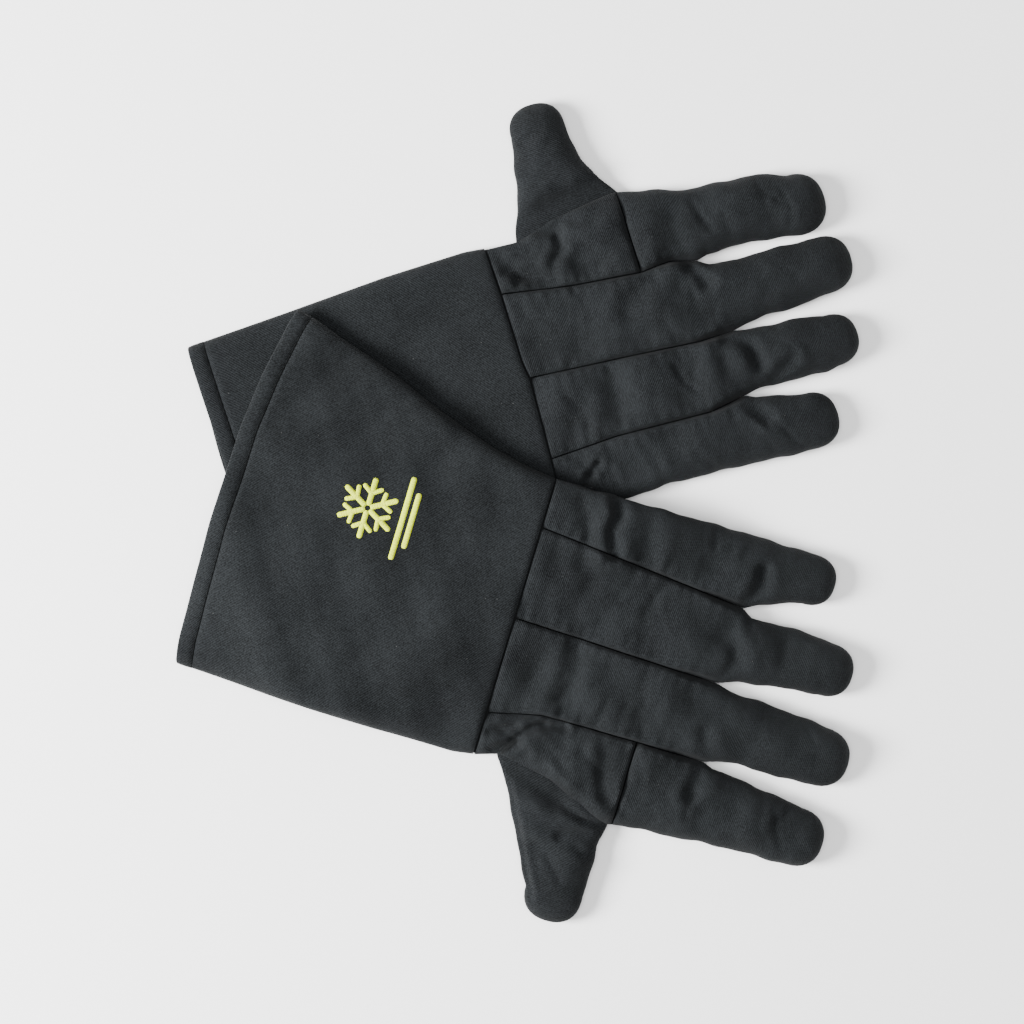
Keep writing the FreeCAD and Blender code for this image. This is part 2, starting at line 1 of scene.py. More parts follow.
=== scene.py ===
"""A pair of insulated gauntlet gloves as it looks, lying back up, the left one over the right one's cuff.

Each glove has its own frame in millimetres: x runs from the wrist seam to the fingertips, y towards the
little finger, z up. The right glove is drawn mirrored in y. Every piece of cloth is a closed mesh with real
thickness.
"""
import math
import bmesh
import bpy
import numpy as np
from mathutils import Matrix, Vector


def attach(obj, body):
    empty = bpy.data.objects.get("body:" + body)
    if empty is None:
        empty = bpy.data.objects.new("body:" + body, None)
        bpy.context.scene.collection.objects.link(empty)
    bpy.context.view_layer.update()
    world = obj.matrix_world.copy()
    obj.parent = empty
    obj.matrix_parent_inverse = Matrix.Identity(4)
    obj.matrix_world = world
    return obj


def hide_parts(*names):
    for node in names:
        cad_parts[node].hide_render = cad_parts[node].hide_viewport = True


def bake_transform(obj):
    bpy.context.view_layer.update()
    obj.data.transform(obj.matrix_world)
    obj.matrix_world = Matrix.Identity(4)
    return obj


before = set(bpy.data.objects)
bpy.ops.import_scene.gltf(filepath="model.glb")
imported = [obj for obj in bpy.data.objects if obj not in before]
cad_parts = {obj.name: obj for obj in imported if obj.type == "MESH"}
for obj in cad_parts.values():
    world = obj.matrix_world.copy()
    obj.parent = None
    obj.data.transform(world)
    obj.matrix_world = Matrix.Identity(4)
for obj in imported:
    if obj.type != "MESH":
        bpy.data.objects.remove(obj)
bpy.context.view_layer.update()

MM = 0.001
SIDES = ("right", "left")
DIGITS = ("index", "middle", "ring", "little", "thumb")

# ---------------------------------------------------------------- the pattern, in millimetres
PLACE = {"left": {"at": (-0.715, -58.8), "turn": -16.58, "mirror": 1.0},
         "right": {"at": (6.085, 71.6), "turn": 16.97, "mirror": -1.0}}
# Seams along the back from the wrist to the crotches.
SEAMS = {
    "left": {"index_middle": [(0, -57), (30, -49.5), (86, -48.5), (126, -49)],
             "middle_ring": [(0, -0.8), (60, -2.4), (120, -4)],
             "ring_little": [(0, 52.5), (60, 47), (123, 41)]},
    "right": {"index_middle": [(0, -54), (40, -47), (80, -42.5), (98, -44), (113, -40)],
              "middle_ring": [(0, -4), (50, 0), (100, 4.5), (121, 4)],
              "ring_little": [(0, 43.5), (40, 42), (95, 44.5), (117, 41)]},
}
# Each digit's two edges beyond its crotches, where its round tip starts and how long the tip is.
# A thumb's points are (distance out from the wrist seam's middle line, x).
EDGES = {
    "left": {
        "index": {"low": [(86, -98), (95, -96.5), (120, -95), (140, -93), (160, -92), (187, -91.5)],
                  "high": [(131, -51), (150, -53), (170, -55.5), (187, -58)], "tip": (187, 17)},
        "middle": {"low": [(135, -46), (150, -44.5), (168, -45.5), (187, -43.5)],
                   "high": [(130, -6.5), (150, -7), (170, -8.5), (187, -10)], "tip": (187, 18)},
        "ring": {"low": [(130, -0.5), (150, 3), (177, 6.3)],
                 "high": [(128, 37), (150, 38), (165, 38), (177, 36.5)], "tip": (177, 16)},
        "little": {"low": [(130, 45), (140, 49), (153.5, 53)],
                   "high": [(0, 81), (60, 81.5), (110, 82.5), (153.5, 82)], "tip": (153.5, 15.5)},
        "thumb": {"low": [(60, 20), (78, 12), (88, 19), (105, 28.5), (125, 38.5), (145, 49)],
                  "high": [(60, 80), (98, 84), (110, 82), (145, 82.5)], "tip": (145, 16)},
    },
    "right": {
        "index": {"low": [(81, -90.5), (100, -86), (118, -80.5), (140, -79), (160, -77), (175, -72)],
                  "high": [(120, -42), (145, -41.5), (160, -39), (175, -36.5)], "tip": (175, 17.5)},
        "middle": {"low": [(118, -36.5), (128, -34.5), (150, -34.5), (180, -33)],
                   "high": [(128, 2.5), (140, 1), (160, 1.5), (180, -0.5)], "tip": (180, 17)},
        "ring": {"low": [(128, 5.5), (140, 6.5), (160, 8), (172, 10.5)],
                 "high": [(122, 40), (130, 39.6), (150, 41), (165, 41.5), (172, 40.5)], "tip": (172, 16)},
        "little": {"low": [(122, 44), (132, 45), (140, 48), (148, 50)],
                   "high": [(0, 81), (34, 77.5), (60, 76.5), (100, 78.5), (130, 81), (148, 82)],
                   "tip": (148, 16)},
        "thumb": {"low": [(60, 22), (80, 17), (95, 23), (110, 27), (125, 30), (137, 32)],
                  "high": [(60, 78), (89, 82), (95, 78), (103, 72), (112, 68), (127, 64), (137, 63.5)],
                  "tip": (137, 15.5)},
    },
}
CROTCH = {"left": {"index_middle": 126, "middle_ring": 120, "ring_little": 123},
          "right": {"index_middle": 113, "middle_ring": 121, "ring_little": 117}}
# The edge of the panel that folds over the thumb, and the short seam at its far end.
THUMB_FOLD = {"left": [(0, -82), (14, -77.5), (45, -83), (67, -93), (83, -98.5), (86, -98)],
              "right": [(0, -81), (18, -80), (32, -83), (40, -86), (79, -91), (81, -90.5)]}
THUMB_ROOT = {"left": (14.0, 84.0), "right": (18.0, 80.0)}
TUCK = 3.4                # how far the thumb's palm inside the hand lies above the hand's palm
TUCK_RUN = 2.5            # the stretch just inside the fold where that fades out
THUMB_MERGE = {"left": 1.0, "right": 0.0}     # how much the far half of the fold runs on into the thumb
MERGE_FROM = 50.0         # x where it starts to
MERGE_RUN = 20.0
THUMB_START = 62.0        # where the thumb begins, out from the wrist seam's middle line
THUMB_ROOT_TOP = 7.0      # height of the thumb's back where it goes in under the fold
THUMB_LOWER = 0.6         # how much lower than a finger's the thumb's middle is
THUMB_RISE = {"before": 3.0, "run": 26.0, "merged": 14.0}     # how it rises from that to its own height
FOLD_EDGE = {"share": 0.42, "merged": 0.16}   # height share of the fold's edge over the thumb
FOLD_ENDS = (12.0, 10.0)  # how long the edge takes to rise to that at its two ends
BASE_ROWS = 57
CROSS_SEAM = {"left": 86.0, "right": 80.0}
CUFF_LOW = {"left": [(-181, -80.5), (-120, -82.5), (-60, -84), (-12, -84), (0, -82)],
            "right": [(-181, -77.5), (-120, -80), (-60, -83), (-12, -83.5), (0, -82)]}
CUFF_HIGH = [(-181, 133), (-168, 131), (-155, 128.5), (-140, 123), (-120, 117), (-100, 110), (-80, 101.5),
             (-60, 94.5), (-40, 88), (-20, 83.5), (0, 81)]
HEM_EDGE = {"left": [(-84, -177), (-65, -179.5), (0, -180.5), (60, -178.5), (90, -175), (120, -170),
                     (133, -167)],
            "right": [(-84, -178.5), (-65, -178.5), (0, -177), (60, -176.5), (120, -170), (133, -167)]}
HEM_ENDS = (-80.0, 131.0)                     # y of the hem's two ends
CUFF_LENGTH = 178.0
CUFF_ROWS = 111
CUFF_COLUMNS = 110
CUFF_START = 0.004        # share of the cuff's length where its cloth starts
HEM_CLEARANCE = 0.0005    # share of the cuff's length between its cloth and the hem's
# Round the hem's cloth: (share of the hem's width, depth under the cuff's outside).
HEM_PROFILE = [(0.0, 0.55), (0.012, 0.12), (0.04, -0.15), (0.35, -0.25), (0.7, -0.2), (0.92, 0.0),
               (0.985, 0.7), (1.0, 1.5), (0.985, 2.3), (0.92, 2.9), (0.6, 3.1), (0.2, 3.1), (0.0, 2.9)]
# Round the near-black ring under the wrist seam's gap, which paints the seam's shade: (share of the cuff's
# length, depth under the cuff's outside).
SEAM_SHADE_PROFILE = [(-0.012, 1.6), (-0.006, 0.8), (0.006, 0.8), (0.012, 1.6), (0.006, 2.4), (-0.006, 2.4)]
# How far the wrist seam bows towards the fingers, and how far from the seam that fades out.
WRIST_BOW = {"left": [(-90, 0), (90, 0)],
             "right": [(-90, 0), (-80, 0), (-55, 1), (-14, 1.2), (-3, 2.8), (19, 2), (44, 1), (58, 0),
                       (90, 0)]}
BOW_FADE = 25.0
# Where the right glove's cuff holds the left glove up: the corner, and a point along each of its two edges.
HELD_AT = ((-167.0, 130.5), (36.0, 80.0), (-178.0, -79.5))

# How many half millimetres a line's corners are softened over.
CURVE_STEP = 0.5
SOFT_SEAM = 4
SOFT_EDGE = 6
SOFT_CUFF = 8

# ---------------------------------------------------------------- cloth and how it lies
SHELL = 1.3
LINING_FROM, LINING_TO = 1.6, 3.0
TABLE_Z = 0.5             # the underside of the cloth
CUFF_TOP = 10.4
HAND_TOP = 16.6
DIGIT_TOP = {"index": 17.0, "middle": 17.4, "ring": 17.0, "little": 15.8, "thumb": 14.2}
MIDDLE_Z = 6.0            # where the back's and the palm's cloth meet along a digit
CUFF_MIDDLE_Z = 4.6
HEM_WIDTH = 10.0
PEEK = {"left": 0.0, "right": 1.8}            # how far the cuff's lower layer sticks out at the mouth
PEEK_ALONG = {"from": -52.0, "run": 45.0}     # where along the mouth it comes out
PEEK_START = 0.94         # share of the cuff's length where it starts to
CUFF_FREEDOM = {"left": 1.0, "right": 0.3}    # how freely the cuff's back waves; the right one is held down
STITCH_GROOVE = {"depth": 1.1, "reach": 1.8}  # along the hem's stitches
WRIST_PLUMP = {"share": 0.05, "run": 30.0}    # how much fuller the cuff is at the wrist
BACK_ROUND = 17.0         # how far in from a free edge the cloth of a digit's back is rounded
PALM_ROUND = 8.0          # and that of the palm's
FOLD_ROUND = 9.0          # and that of the panel's edge over the thumb
CUFF_ROUND = 11.0         # and those of the cuff's back and palm
CUFF_PALM_ROUND = 6.0
HAND_RISE = {"from": 12.0, "run": 80.0}       # where the hand grows from the cuff's height to its own
DIGIT_RISE = {"from": 105.0, "run": 30.0}     # where a finger goes on from the hand's height to its own
SEAM_DEPTH = 0.2          # share of the height that a seam pulls the cloth down by
SEAM_REACH = 7.0
SEAM_LINE = {"depth": 0.15, "reach": 2.0}     # the sharp line in its middle
PUCKER = {"height": 0.7, "length": 6.8, "fade": 4.5, "start": 2.5}
FAR = 99.0                # a distance past every seam's reach
# Before and past a crotch: where the cloth goes down to the middle, and the deeper line in the seam.
DIVE = {"before": 21.0, "run": 20.0}
NOTCH = {"depth": 0.4, "before": 28.0, "run": 14.0, "past": 4.0, "reach": 3.0}
UNEVEN = {"heights": (0.32, 0.22), "lengths": (29.0, 16.0), "run": 12.0}     # of a digit's free edges
SEAM_GAP = 0.35           # from a strip's edge to the seam's middle
CREASE_DEPTH = 1.8        # times the depths listed below
DEEPEST_CREASE = 3.3      # which no sum of creases goes beyond
CREASE_POWER = 1.6        # how steep a crease's sides are
SWELL = {"share": 0.35, "at": 2.1, "width": 1.1}     # the cloth beside a crease, in its depths and widths
SQUARENESS = 0.86         # of a digit's tip: 1 is an ellipse, less is squarer
COVER = {"rise": 12.7, "run": 55.0, "margin": 3.0}      # how the left glove is held up over the right

WELD_DISTANCE = 0.00002   # metres
CRISP_ANGLE = math.radians(60)
TINY = 1e-9

# Creases on the back as (depth, width, path); a negative depth is a swelling.
CREASES = {
    "left": [
        (1.7, 4.5, [(18, 74), (27, 58), (28, 41)]),
        (2.6, 3.4, [(36, 81), (40, 71), (38, 62), (43, 50)]),
        (1.7, 6.0, [(42, -34), (38, -7)]),
        (1.0, 5.0, [(30, 12), (36, 36)]),
        (0.9, 6.0, [(17, -48), (22, -12)]),
        (1.2, 5.0, [(62, 50), (58, 76)]),
        (0.8, 7.0, [(74, 6), (70, 38)]),
        (0.9, 7.0, [(84, -40), (80, -10)]),
        (2.8, 2.4, [(10, -77), (19, -71), (23, -62), (31, -55), (44, -52)]),
        (1.2, 2.0, [(4, -66), (18, -60)]),
        (-1.2, 3.8, [(25, -63), (33, -73), (50, -78), (68, -86), (84, -93)]),
        (-1.3, 9.0, [(35, -62), (48, -67), (62, -76)]),
        (1.0, 3.4, [(58, -62), (72, -72), (80, -84)]),
        (0.9, 4.0, [(40, -46), (39, -10)]),
        (0.8, 5.0, [(79, -71), (84, -58)]),
        (1.2, 4.0, [(70, -60), (78, -84)]),
        (2.2, 3.4, [(123, 44), (129, 56), (127, 65)]),
        (1.6, 4.0, [(121, -2), (127, 10), (125, 18)]),
        (1.8, 3.6, [(126, -54), (123, -68)]),
        (1.6, 4.0, [(128, -46), (121, -33)]),
        (1.2, 5.0, [(122, 36), (117, 22)]),
        (0.9, 6.0, [(146, -58), (152, -70)]),
        (1.0, 6.0, [(100, 60), (96, 78)]),
        (0.8, 7.0, [(150, -12), (146, -34)]),
        (0.7, 7.0, [(152, 8), (149, 30)]),
    ],
    "right": [
        (2.0, 2.8, [(26, -85), (41, -80), (41, -69), (34, -62)]),
        (2.0, 4.2, [(3, -76), (14, -61), (31, -56)]),
        (-1.2, 8.0, [(52, -76), (70, -76)]),
        (1.5, 5.0, [(84, -38), (66, -24)]),
        (1.6, 6.0, [(50, 6), (47, 27)]),
        (1.1, 6.0, [(15, 39), (24, 20)]),
        (2.4, 1.9, [(14, 63), (25, 54)]),
        (2.0, 3.4, [(116, 6), (127, 14), (129, 28)]),
        (1.4, 4.5, [(111, 12), (110, 27)]),
        (2.0, 3.4, [(108, -38), (114, -26)]),
        (1.8, 3.4, [(147, 30), (135, 37)]),
        (2.0, 3.6, [(118, 46), (124, 57)]),
        (1.1, 6.0, [(124, -80), (121, -60)]),
        (1.0, 7.0, [(107, -68), (104, -52)]),
        (1.0, 7.0, [(70, 52), (74, 72)]),
        (0.9, 7.0, [(30, -46), (34, -12)]),
        (0.9, 7.0, [(146, -14), (142, -30)]),
        (0.8, 7.0, [(92, 8), (88, 34)]),
        (1.4, 4.0, [(46, -84), (62, -78)]),
    ],
}
CUFF_CREASES = {
    "left": [
        (1.0, 10.0, [(-103, 92), (-120, 60)]),
        (0.9, 8.0, [(-56, 90), (-68, 66)]),
        (0.8, 12.0, [(-140, -20), (-120, -50)]),
        (0.8, 12.0, [(-70, -30), (-90, -70)]),
        (0.9, 9.0, [(-160, 70), (-140, 100)]),
        (0.7, 9.0, [(-24, 30), (-30, 66)]),
    ],
    "right": [
        (0.8, 10.0, [(-30, -60), (-60, -40)]),
        (0.7, 10.0, [(-120, -60), (-100, -30)]),
    ],
}
THUMB_CREASES = {
    "left": [
        (1.8, 3.2, [(24, -84), (44, -90), (56, -94)]),
        (2.0, 2.2, [(60, -96.5), (70, -99), (82, -99.5)]),
        (1.2, 2.6, [(60, -111), (83, -102)]),
        (0.9, 4.0, [(32, -103), (58, -111)]),
        (1.3, 1.5, [(24, -92), (34, -111), (44, -131), (54, -150)]),
        (0.9, 6.0, [(50, -122), (66, -114)]),
    ],
    "right": [
        (1.6, 4.0, [(24, -90), (44, -94), (68, -98)]),
        (0.9, 6.0, [(36, -112), (54, -106)]),
    ],
}


def smooth(t):
    t = np.clip(t, 0.0, 1.0)
    return t * t * (3 - 2 * t)


def mix(a, b, t):
    return a + (b - a) * t


def round_rise(d, reach):
    """0 at an edge, 1 from reach inwards, with the quarter round of stuffed cloth between."""
    t = np.clip(np.asarray(d, float) / reach, 0.0, 1.0)
    return np.sqrt(t * (2 - t))


def curve(points, half):
    """A function through a list of points, with its corners softened over some steps to each side."""
    xs, ys = np.array(points, float).T
    grid = np.arange(xs[0], xs[-1] + CURVE_STEP, CURVE_STEP)
    line = np.interp(grid, xs, ys)
    padded = np.concatenate([2 * line[0] - line[half:0:-1], line, 2 * line[-1] - line[-2:-half - 2:-1]])
    kernel = np.hanning(2 * half + 3)[1:-1]
    soft = np.convolve(padded, kernel / kernel.sum(), "valid")
    return lambda x: np.interp(x, grid, soft)


def to_pair(side, x, y):
    """A glove's own x and y in the pair's frame."""
    place = PLACE[side]
    turn = math.radians(place["turn"])
    y = y * place["mirror"]
    return (place["at"][0] + x * math.cos(turn) - y * math.sin(turn),
            place["at"][1] + x * math.sin(turn) + y * math.cos(turn))


def from_pair(side, px, py):
    place = PLACE[side]
    turn = math.radians(place["turn"])
    dx, dy = px - place["at"][0], py - place["at"][1]
    return (dx * math.cos(turn) + dy * math.sin(turn),
            (dy * math.cos(turn) - dx * math.sin(turn)) * place["mirror"])


def bowed(side, x, y):
    """x with the wrist seam's bow, which fades out to both sides of it."""
    return x + curve(WRIST_BOW[side], SOFT_EDGE)(y) * np.exp(-np.abs(x) / BOW_FADE)


def beyond(x, y, start, end):
    """How far points lie to the right of the line from start to end."""
    along = (end[0] - start[0], end[1] - start[1])
    return np.maximum(0.0, ((x - start[0]) * along[1] - (y - start[1]) * along[0]) / math.hypot(*along))


COVER_CORNER, COVER_SIDE, COVER_HEM = (from_pair("left", *to_pair("right", x, y))
                                       for x, y in HELD_AT)


def lift(side, x, y):
    """How high the left glove is held up by the right one under it."""
    if side == "right":
        return np.zeros_like(x)
    clear = np.hypot(beyond(x, y, COVER_CORNER, COVER_SIDE), beyond(x, y, COVER_HEM, COVER_CORNER))
    return COVER["rise"] * (1 - smooth((clear - COVER["margin"]) / COVER["run"]))


def ripple(x, y, seed, waves):
    """Smooth irregular waves: (height, wavelength) pairs, each in a few directions."""
    rng = np.random.default_rng(seed)
    total = np.zeros_like(x)
    for height, length in waves:
        for _ in range(4):
            angle, phase = rng.uniform(0, 2 * math.pi, 2)
            k = 2 * math.pi / (length * rng.uniform(0.8, 1.25))
            total = total + height * 0.5 * np.sin(k * (x * math.cos(angle) + y * math.sin(angle)) + phase)
    return total


def creases(listed, x, y):
    """Soft folds that dip along a path and swell beside it."""
    total = np.zeros_like(x)
    for depth, width, path in listed:
        nearest = np.full(x.shape, np.inf)
        for (x0, y0), (x1, y1) in zip(path, path[1:]):
            dx, dy = x1 - x0, y1 - y0
            t = np.clip(((x - x0) * dx + (y - y0) * dy) / (dx * dx + dy * dy), 0, 1)
            nearest = np.minimum(nearest, np.hypot(x - x0 - t * dx, y - y0 - t * dy))
        total -= depth * np.exp(-(nearest / width) ** CREASE_POWER)
        beside = (nearest - SWELL["at"] * width) / (SWELL["width"] * width)
        total += SWELL["share"] * depth * np.exp(-beside ** 2)
    return DEEPEST_CREASE * np.tanh(CREASE_DEPTH * total / DEEPEST_CREASE)


def wrinkles(x, y, seed, count, lengths, widths, depths, lean):
    """Short random creases, mostly across x, spread over the area of the points."""
    rng = np.random.default_rng(seed)
    listed = []
    for _ in range(count):
        at_x, at_y = rng.uniform(x.min(), x.max()), rng.uniform(y.min(), y.max())
        turn, half = rng.uniform(-lean, lean), rng.uniform(*lengths) / 2
        dx, dy = half * math.sin(turn), half * math.cos(turn)
        bow = rng.uniform(-0.25, 0.25) * half
        path = [(at_x - dx, at_y - dy), (at_x + bow, at_y), (at_x + dx, at_y + dy)]
        listed.append((rng.uniform(*depths), rng.uniform(*widths), path))
    return creases(listed, x, y)


def bands(x, y, seed, height, length):
    """Wrinkles that run across a strip, uneven along it."""
    rng = np.random.default_rng(seed)
    phase = rng.uniform(0, 2 * math.pi, 4)
    wander = 0.9 * np.sin(y / 9.0 + phase[0]) + 0.8 * np.sin(x / 31.0 + phase[1])
    strength = 0.6 + 0.4 * np.sin(x / 23.0 + phase[2])
    wide = np.sin(2 * math.pi * x / length + wander)
    narrow = np.sin(4.6 * math.pi * x / length + 1.4 * wander + phase[3])
    return height * strength * (wide + 0.5 * narrow)


def hand_top(x):
    return mix(CUFF_TOP + 0.4, HAND_TOP, smooth((x - HAND_RISE["from"]) / HAND_RISE["run"]))


# ---------------------------------------------------------------- sheets of cloth from grids of points
def grid_normals(points):
    """Unit normals of a grid of points (rows, columns, 3)."""
    normal = np.cross(np.gradient(points, axis=0), np.gradient(points, axis=1))
    length = np.linalg.norm(normal, axis=2, keepdims=True)
    return normal / np.maximum(length, TINY)


def cloth_uv(points):
    """Distances along and across the cloth, in millimetres, so that the weave isn't stretched."""
    steps = np.linalg.norm(np.diff(points, axis=1), axis=2)
    across = np.concatenate([np.zeros((len(points), 1)), np.cumsum(steps, axis=1)], axis=1)
    across -= across[:, -1:] / 2
    middle = points[:, points.shape[1] // 2]
    run = np.concatenate([[0.0], np.cumsum(np.linalg.norm(np.diff(middle, axis=0), axis=1))])
    return np.stack([np.broadcast_to(run[:, None], across.shape), across], axis=2)


class Sheet:
    """A grid of points on a sheet's outside in the pair's frame, in millimetres, with its normals and uvs."""

    def __init__(self, points, normals, uv):
        self.points = points
        self.normals = normals
        self.uv = uv

    def area(self):
        a = self.points[1:, 1:] - self.points[:-1, :-1]
        b = self.points[1:, :-1] - self.points[:-1, 1:]
        return float(np.linalg.norm(np.cross(a, b), axis=2).sum() / 2)

    def length(self):
        middle = self.points[:, self.points.shape[1] // 2]
        return float(np.linalg.norm(np.diff(middle, axis=0), axis=1).sum())

    def coarse(self):
        """The same sheet with every other row and column, for cloth that is out of sight."""
        return Sheet(self.points[::2, ::2], self.normals[::2, ::2], self.uv[::2, ::2])


def lay(side, x, y, z, up):
    """A sheet through a glove's own points, with its outside up or down."""
    px, py = to_pair(side, bowed(side, x, y), y)
    points = np.stack([px, py, z], axis=2)
    normals = grid_normals(points)
    middle = normals[len(x) // 2, x.shape[1] // 4]
    if (middle[2] > 0) != up:
        normals = -normals
    return Sheet(points, normals, cloth_uv(points))


def layer_faces(rows, columns):
    """Faces of a closed layer of cloth: its outside, its inside and the cut edge all round it."""
    inner = rows * columns
    last = inner - columns
    faces = []
    for i in range(rows - 1):
        for j in range(columns - 1):
            a = i * columns + j
            b, c, d = a + 1, a + columns + 1, a + columns
            faces += [[a, b, c, d], [inner + d, inner + c, inner + b, inner + a]]
    for j in range(columns - 1):
        k = j + 1
        faces.append([k, j, inner + j, inner + k])
        faces.append([last + j, last + k, inner + last + k, inner + last + j])
    for a in range(0, last, columns):
        b = a + columns
        c, d = b + columns - 1, a + columns - 1
        faces.append([a, b, inner + b, inner + a])
        faces.append([c, d, inner + d, inner + c])
    return faces


def layer_mesh(sheets, start, end):
    """Vertices, faces and uvs of closed layers of cloth, from one depth under each sheet to another."""
    verts, faces, uvs = [], [], []
    for sheet in sheets:
        base = len(verts)
        for depth in (start, end):
            verts += (sheet.points - sheet.normals * depth).reshape(-1, 3).tolist()
            uvs += sheet.uv.reshape(-1, 2).tolist()
        faces += [[base + k for k in face] for face in layer_faces(*sheet.points.shape[:2])]
    return verts, faces, uvs


def make_object(name, verts, faces, uvs, material):
    mesh = bpy.data.meshes.new(name)
    mesh.from_pydata([[c * MM for c in v] for v in verts], [], faces)
    layer = mesh.uv_layers.new(name="cloth")
    loops = np.zeros(len(mesh.loops), int)
    mesh.loops.foreach_get("vertex_index", loops)
    layer.data.foreach_set("uv", (np.array(uvs)[loops] * MM).astype(np.float32).ravel())
    mesh.materials.append(material)
    mesh.polygons.foreach_set("use_smooth", [True] * len(mesh.polygons))
    obj = bpy.data.objects.new(name, mesh)
    bpy.context.scene.collection.objects.link(obj)
    tidy_normals(obj)
    return obj


def tidy_normals(obj):
    """Points every face outwards and keeps the cut edges of the cloth crisp."""
    bm = bmesh.new()
    bm.from_mesh(obj.data)
    bmesh.ops.remove_doubles(bm, verts=bm.verts, dist=WELD_DISTANCE)
    bmesh.ops.recalc_face_normals(bm, faces=bm.faces)
    for edge in bm.edges:
        if len(edge.link_faces) == 2 and edge.calc_face_angle(0.0) > CRISP_ANGLE:
            edge.smooth = False
    bm.to_mesh(obj.data)
    bm.free()


def declare(sheets):
    """Works out how long and how large the sheets are; nothing is done with the result."""
    length = max(s.length() for s in sheets)
    area = sum(s.area() for s in sheets)


# ---------------------------------------------------------------- digits, with their strips of the hand
NEXT_SEAM = {"index": (None, "index_middle"), "middle": ("index_middle", "middle_ring"),
             "ring": ("middle_ring", "ring_little"), "little": ("ring_little", None), "thumb": (None, None)}
TIP_TURNS = np.radians([10, 20, 30, 40, 49, 57, 64, 70, 76, 81, 85.5, 89])
COLUMNS = 40
ROW_STEP = 1.6


def seed_of(text):
    return sum(ord(c) * (i + 1) for i, c in enumerate(text))


def spread(columns):
    """Shares of the way across a digit, close together at its edges."""
    return (1 - np.cos(np.linspace(0, math.pi, columns + 1))) / 2


def edge_line(side, digit, end):
    """A digit's edge from the wrist to the tip's start, with the seam it shares with its neighbour first."""
    seam = NEXT_SEAM[digit][end == "high"]
    own = EDGES[side][digit][end]
    if seam is None:
        return curve(own, SOFT_EDGE)
    return curve(SEAMS[side][seam] + own, SOFT_SEAM)


def unevenness(side, digit, end, s, start):
    """How far a free edge wanders from its smooth line; none where it starts and along a seam."""
    seam = NEXT_SEAM[digit][end == "high"]
    free_from = CROTCH[side][seam] if seam else start
    phases = np.random.default_rng(seed_of(side + digit + end)).uniform(0, 2 * math.pi, 2)
    waves = sum(height * np.sin(2 * math.pi * s / length + phase)
                for height, length, phase in zip(UNEVEN["heights"], UNEVEN["lengths"], phases))
    return waves * smooth((s - free_from) / UNEVEN["run"])


def digit_rows(side, digit, start):
    """Rows (s, low edge, high edge, tip share) along a digit, and half the width of its round tip."""
    tip, reach = EDGES[side][digit]["tip"]
    low, high = edge_line(side, digit, "low"), edge_line(side, digit, "high")
    stations = np.linspace(start, tip, 2 * int((tip - start) / ROW_STEP / 2) + 1)
    lows = low(stations) + unevenness(side, digit, "low", stations, start)
    highs = high(stations) + unevenness(side, digit, "high", stations, start)
    rows = [(s, float(a), float(b), 0.0) for s, a, b in zip(stations, lows, highs)]
    _, a, b, _ = rows[-1]
    for turn in TIP_TURNS:
        middle, half = (a + b) / 2, (b - a) / 2 * math.cos(turn) ** SQUARENESS
        out = math.sin(turn) ** SQUARENESS
        rows.append((tip + reach * out, middle - half, middle + half, out))
    return rows, (b - a) / 2


def dive(side, seam, s):
    """0 along a seam, 1 past its crotch: how far the cloth goes down to where back and palm meet."""
    return float(smooth((s - (CROTCH[side][seam] - DIVE["before"])) / DIVE["run"]))


def crotch_notch(side, seam, s, d):
    """A deeper, sharper line in a seam over its last stretch before the crotch."""
    past = s - CROTCH[side][seam]
    along = smooth((past + NOTCH["before"]) / NOTCH["run"]) * (1 - smooth(past / NOTCH["past"]))
    return NOTCH["depth"] * along * (1 - smooth(d / NOTCH["reach"]))


def seam_dip(d):
    """How much a seam pulls the cloth down at a distance from it: a wide hollow with a sharp line in it."""
    line = SEAM_LINE["depth"] * (1 - smooth(d / SEAM_LINE["reach"]))
    return SEAM_DEPTH * (1 - round_rise(d, SEAM_REACH)) + line


def tip_shares(w, middle, tip_half, tip_share):
    """Height shares of the back and the palm across a row of a round tip."""
    power = 2 / SQUARENESS
    off = np.abs(w - middle) / tip_half
    inside = (1 - (tip_share ** power + off ** power) ** (1 / power)) * tip_half
    return round_rise(inside, min(BACK_ROUND, tip_half)), round_rise(inside, PALM_ROUND)


def row_shares(side, digit, s, w, low, high):
    """Height shares of the back and the palm across a row before the tip, and how far the next seam is."""
    back, palm, near = np.ones_like(w), np.ones_like(w), np.full_like(w, FAR)
    reach = min((high - low) / 2, BACK_ROUND)
    for seam, d in zip(NEXT_SEAM[digit], (w - low, high - w)):
        down = dive(side, seam, s) if seam else 1.0
        back = back * (1 - (1 - down) * seam_dip(d)) * (1 - down * (1 - round_rise(d, reach)))
        palm = palm * (1 - down * (1 - round_rise(d, PALM_ROUND)))
        if seam:
            back = back * (1 - crotch_notch(side, seam, s, d))
        if seam and down < 1:
            near = np.minimum(near, d)
    return back, palm, near


class Digit:
    """The plan of one digit: its points, height shares of back and palm, and distance to the next seam."""

    def __init__(self, side, digit, start):
        rows, tip_half = digit_rows(side, digit, start)
        q = spread(COLUMNS)
        plan = {"s": [], "w": [], "palm_w": [], "back": [], "palm": [], "seam": []}
        for s, low, high, tip_share in rows:
            palm_w = low + q * (high - low)
            gaps = [SEAM_GAP * (1 - dive(side, seam, s) ** 4) if seam else 0.0 for seam in NEXT_SEAM[digit]]
            if tip_share > 0:
                back, palm = tip_shares(palm_w, (low + high) / 2, tip_half, tip_share)
                near = np.full_like(q, FAR)
            else:
                back, palm, near = row_shares(side, digit, s, palm_w, low, high)
            plan["s"].append(np.full_like(q, s))
            plan["w"].append(low + gaps[0] + q * (high - low - sum(gaps)))
            plan["palm_w"].append(palm_w)
            plan["back"].append(back)
            plan["palm"].append(palm)
            plan["seam"].append(near)
        self.s, self.w, self.palm_w, self.back, self.palm, self.seam = map(np.array, plan.values())


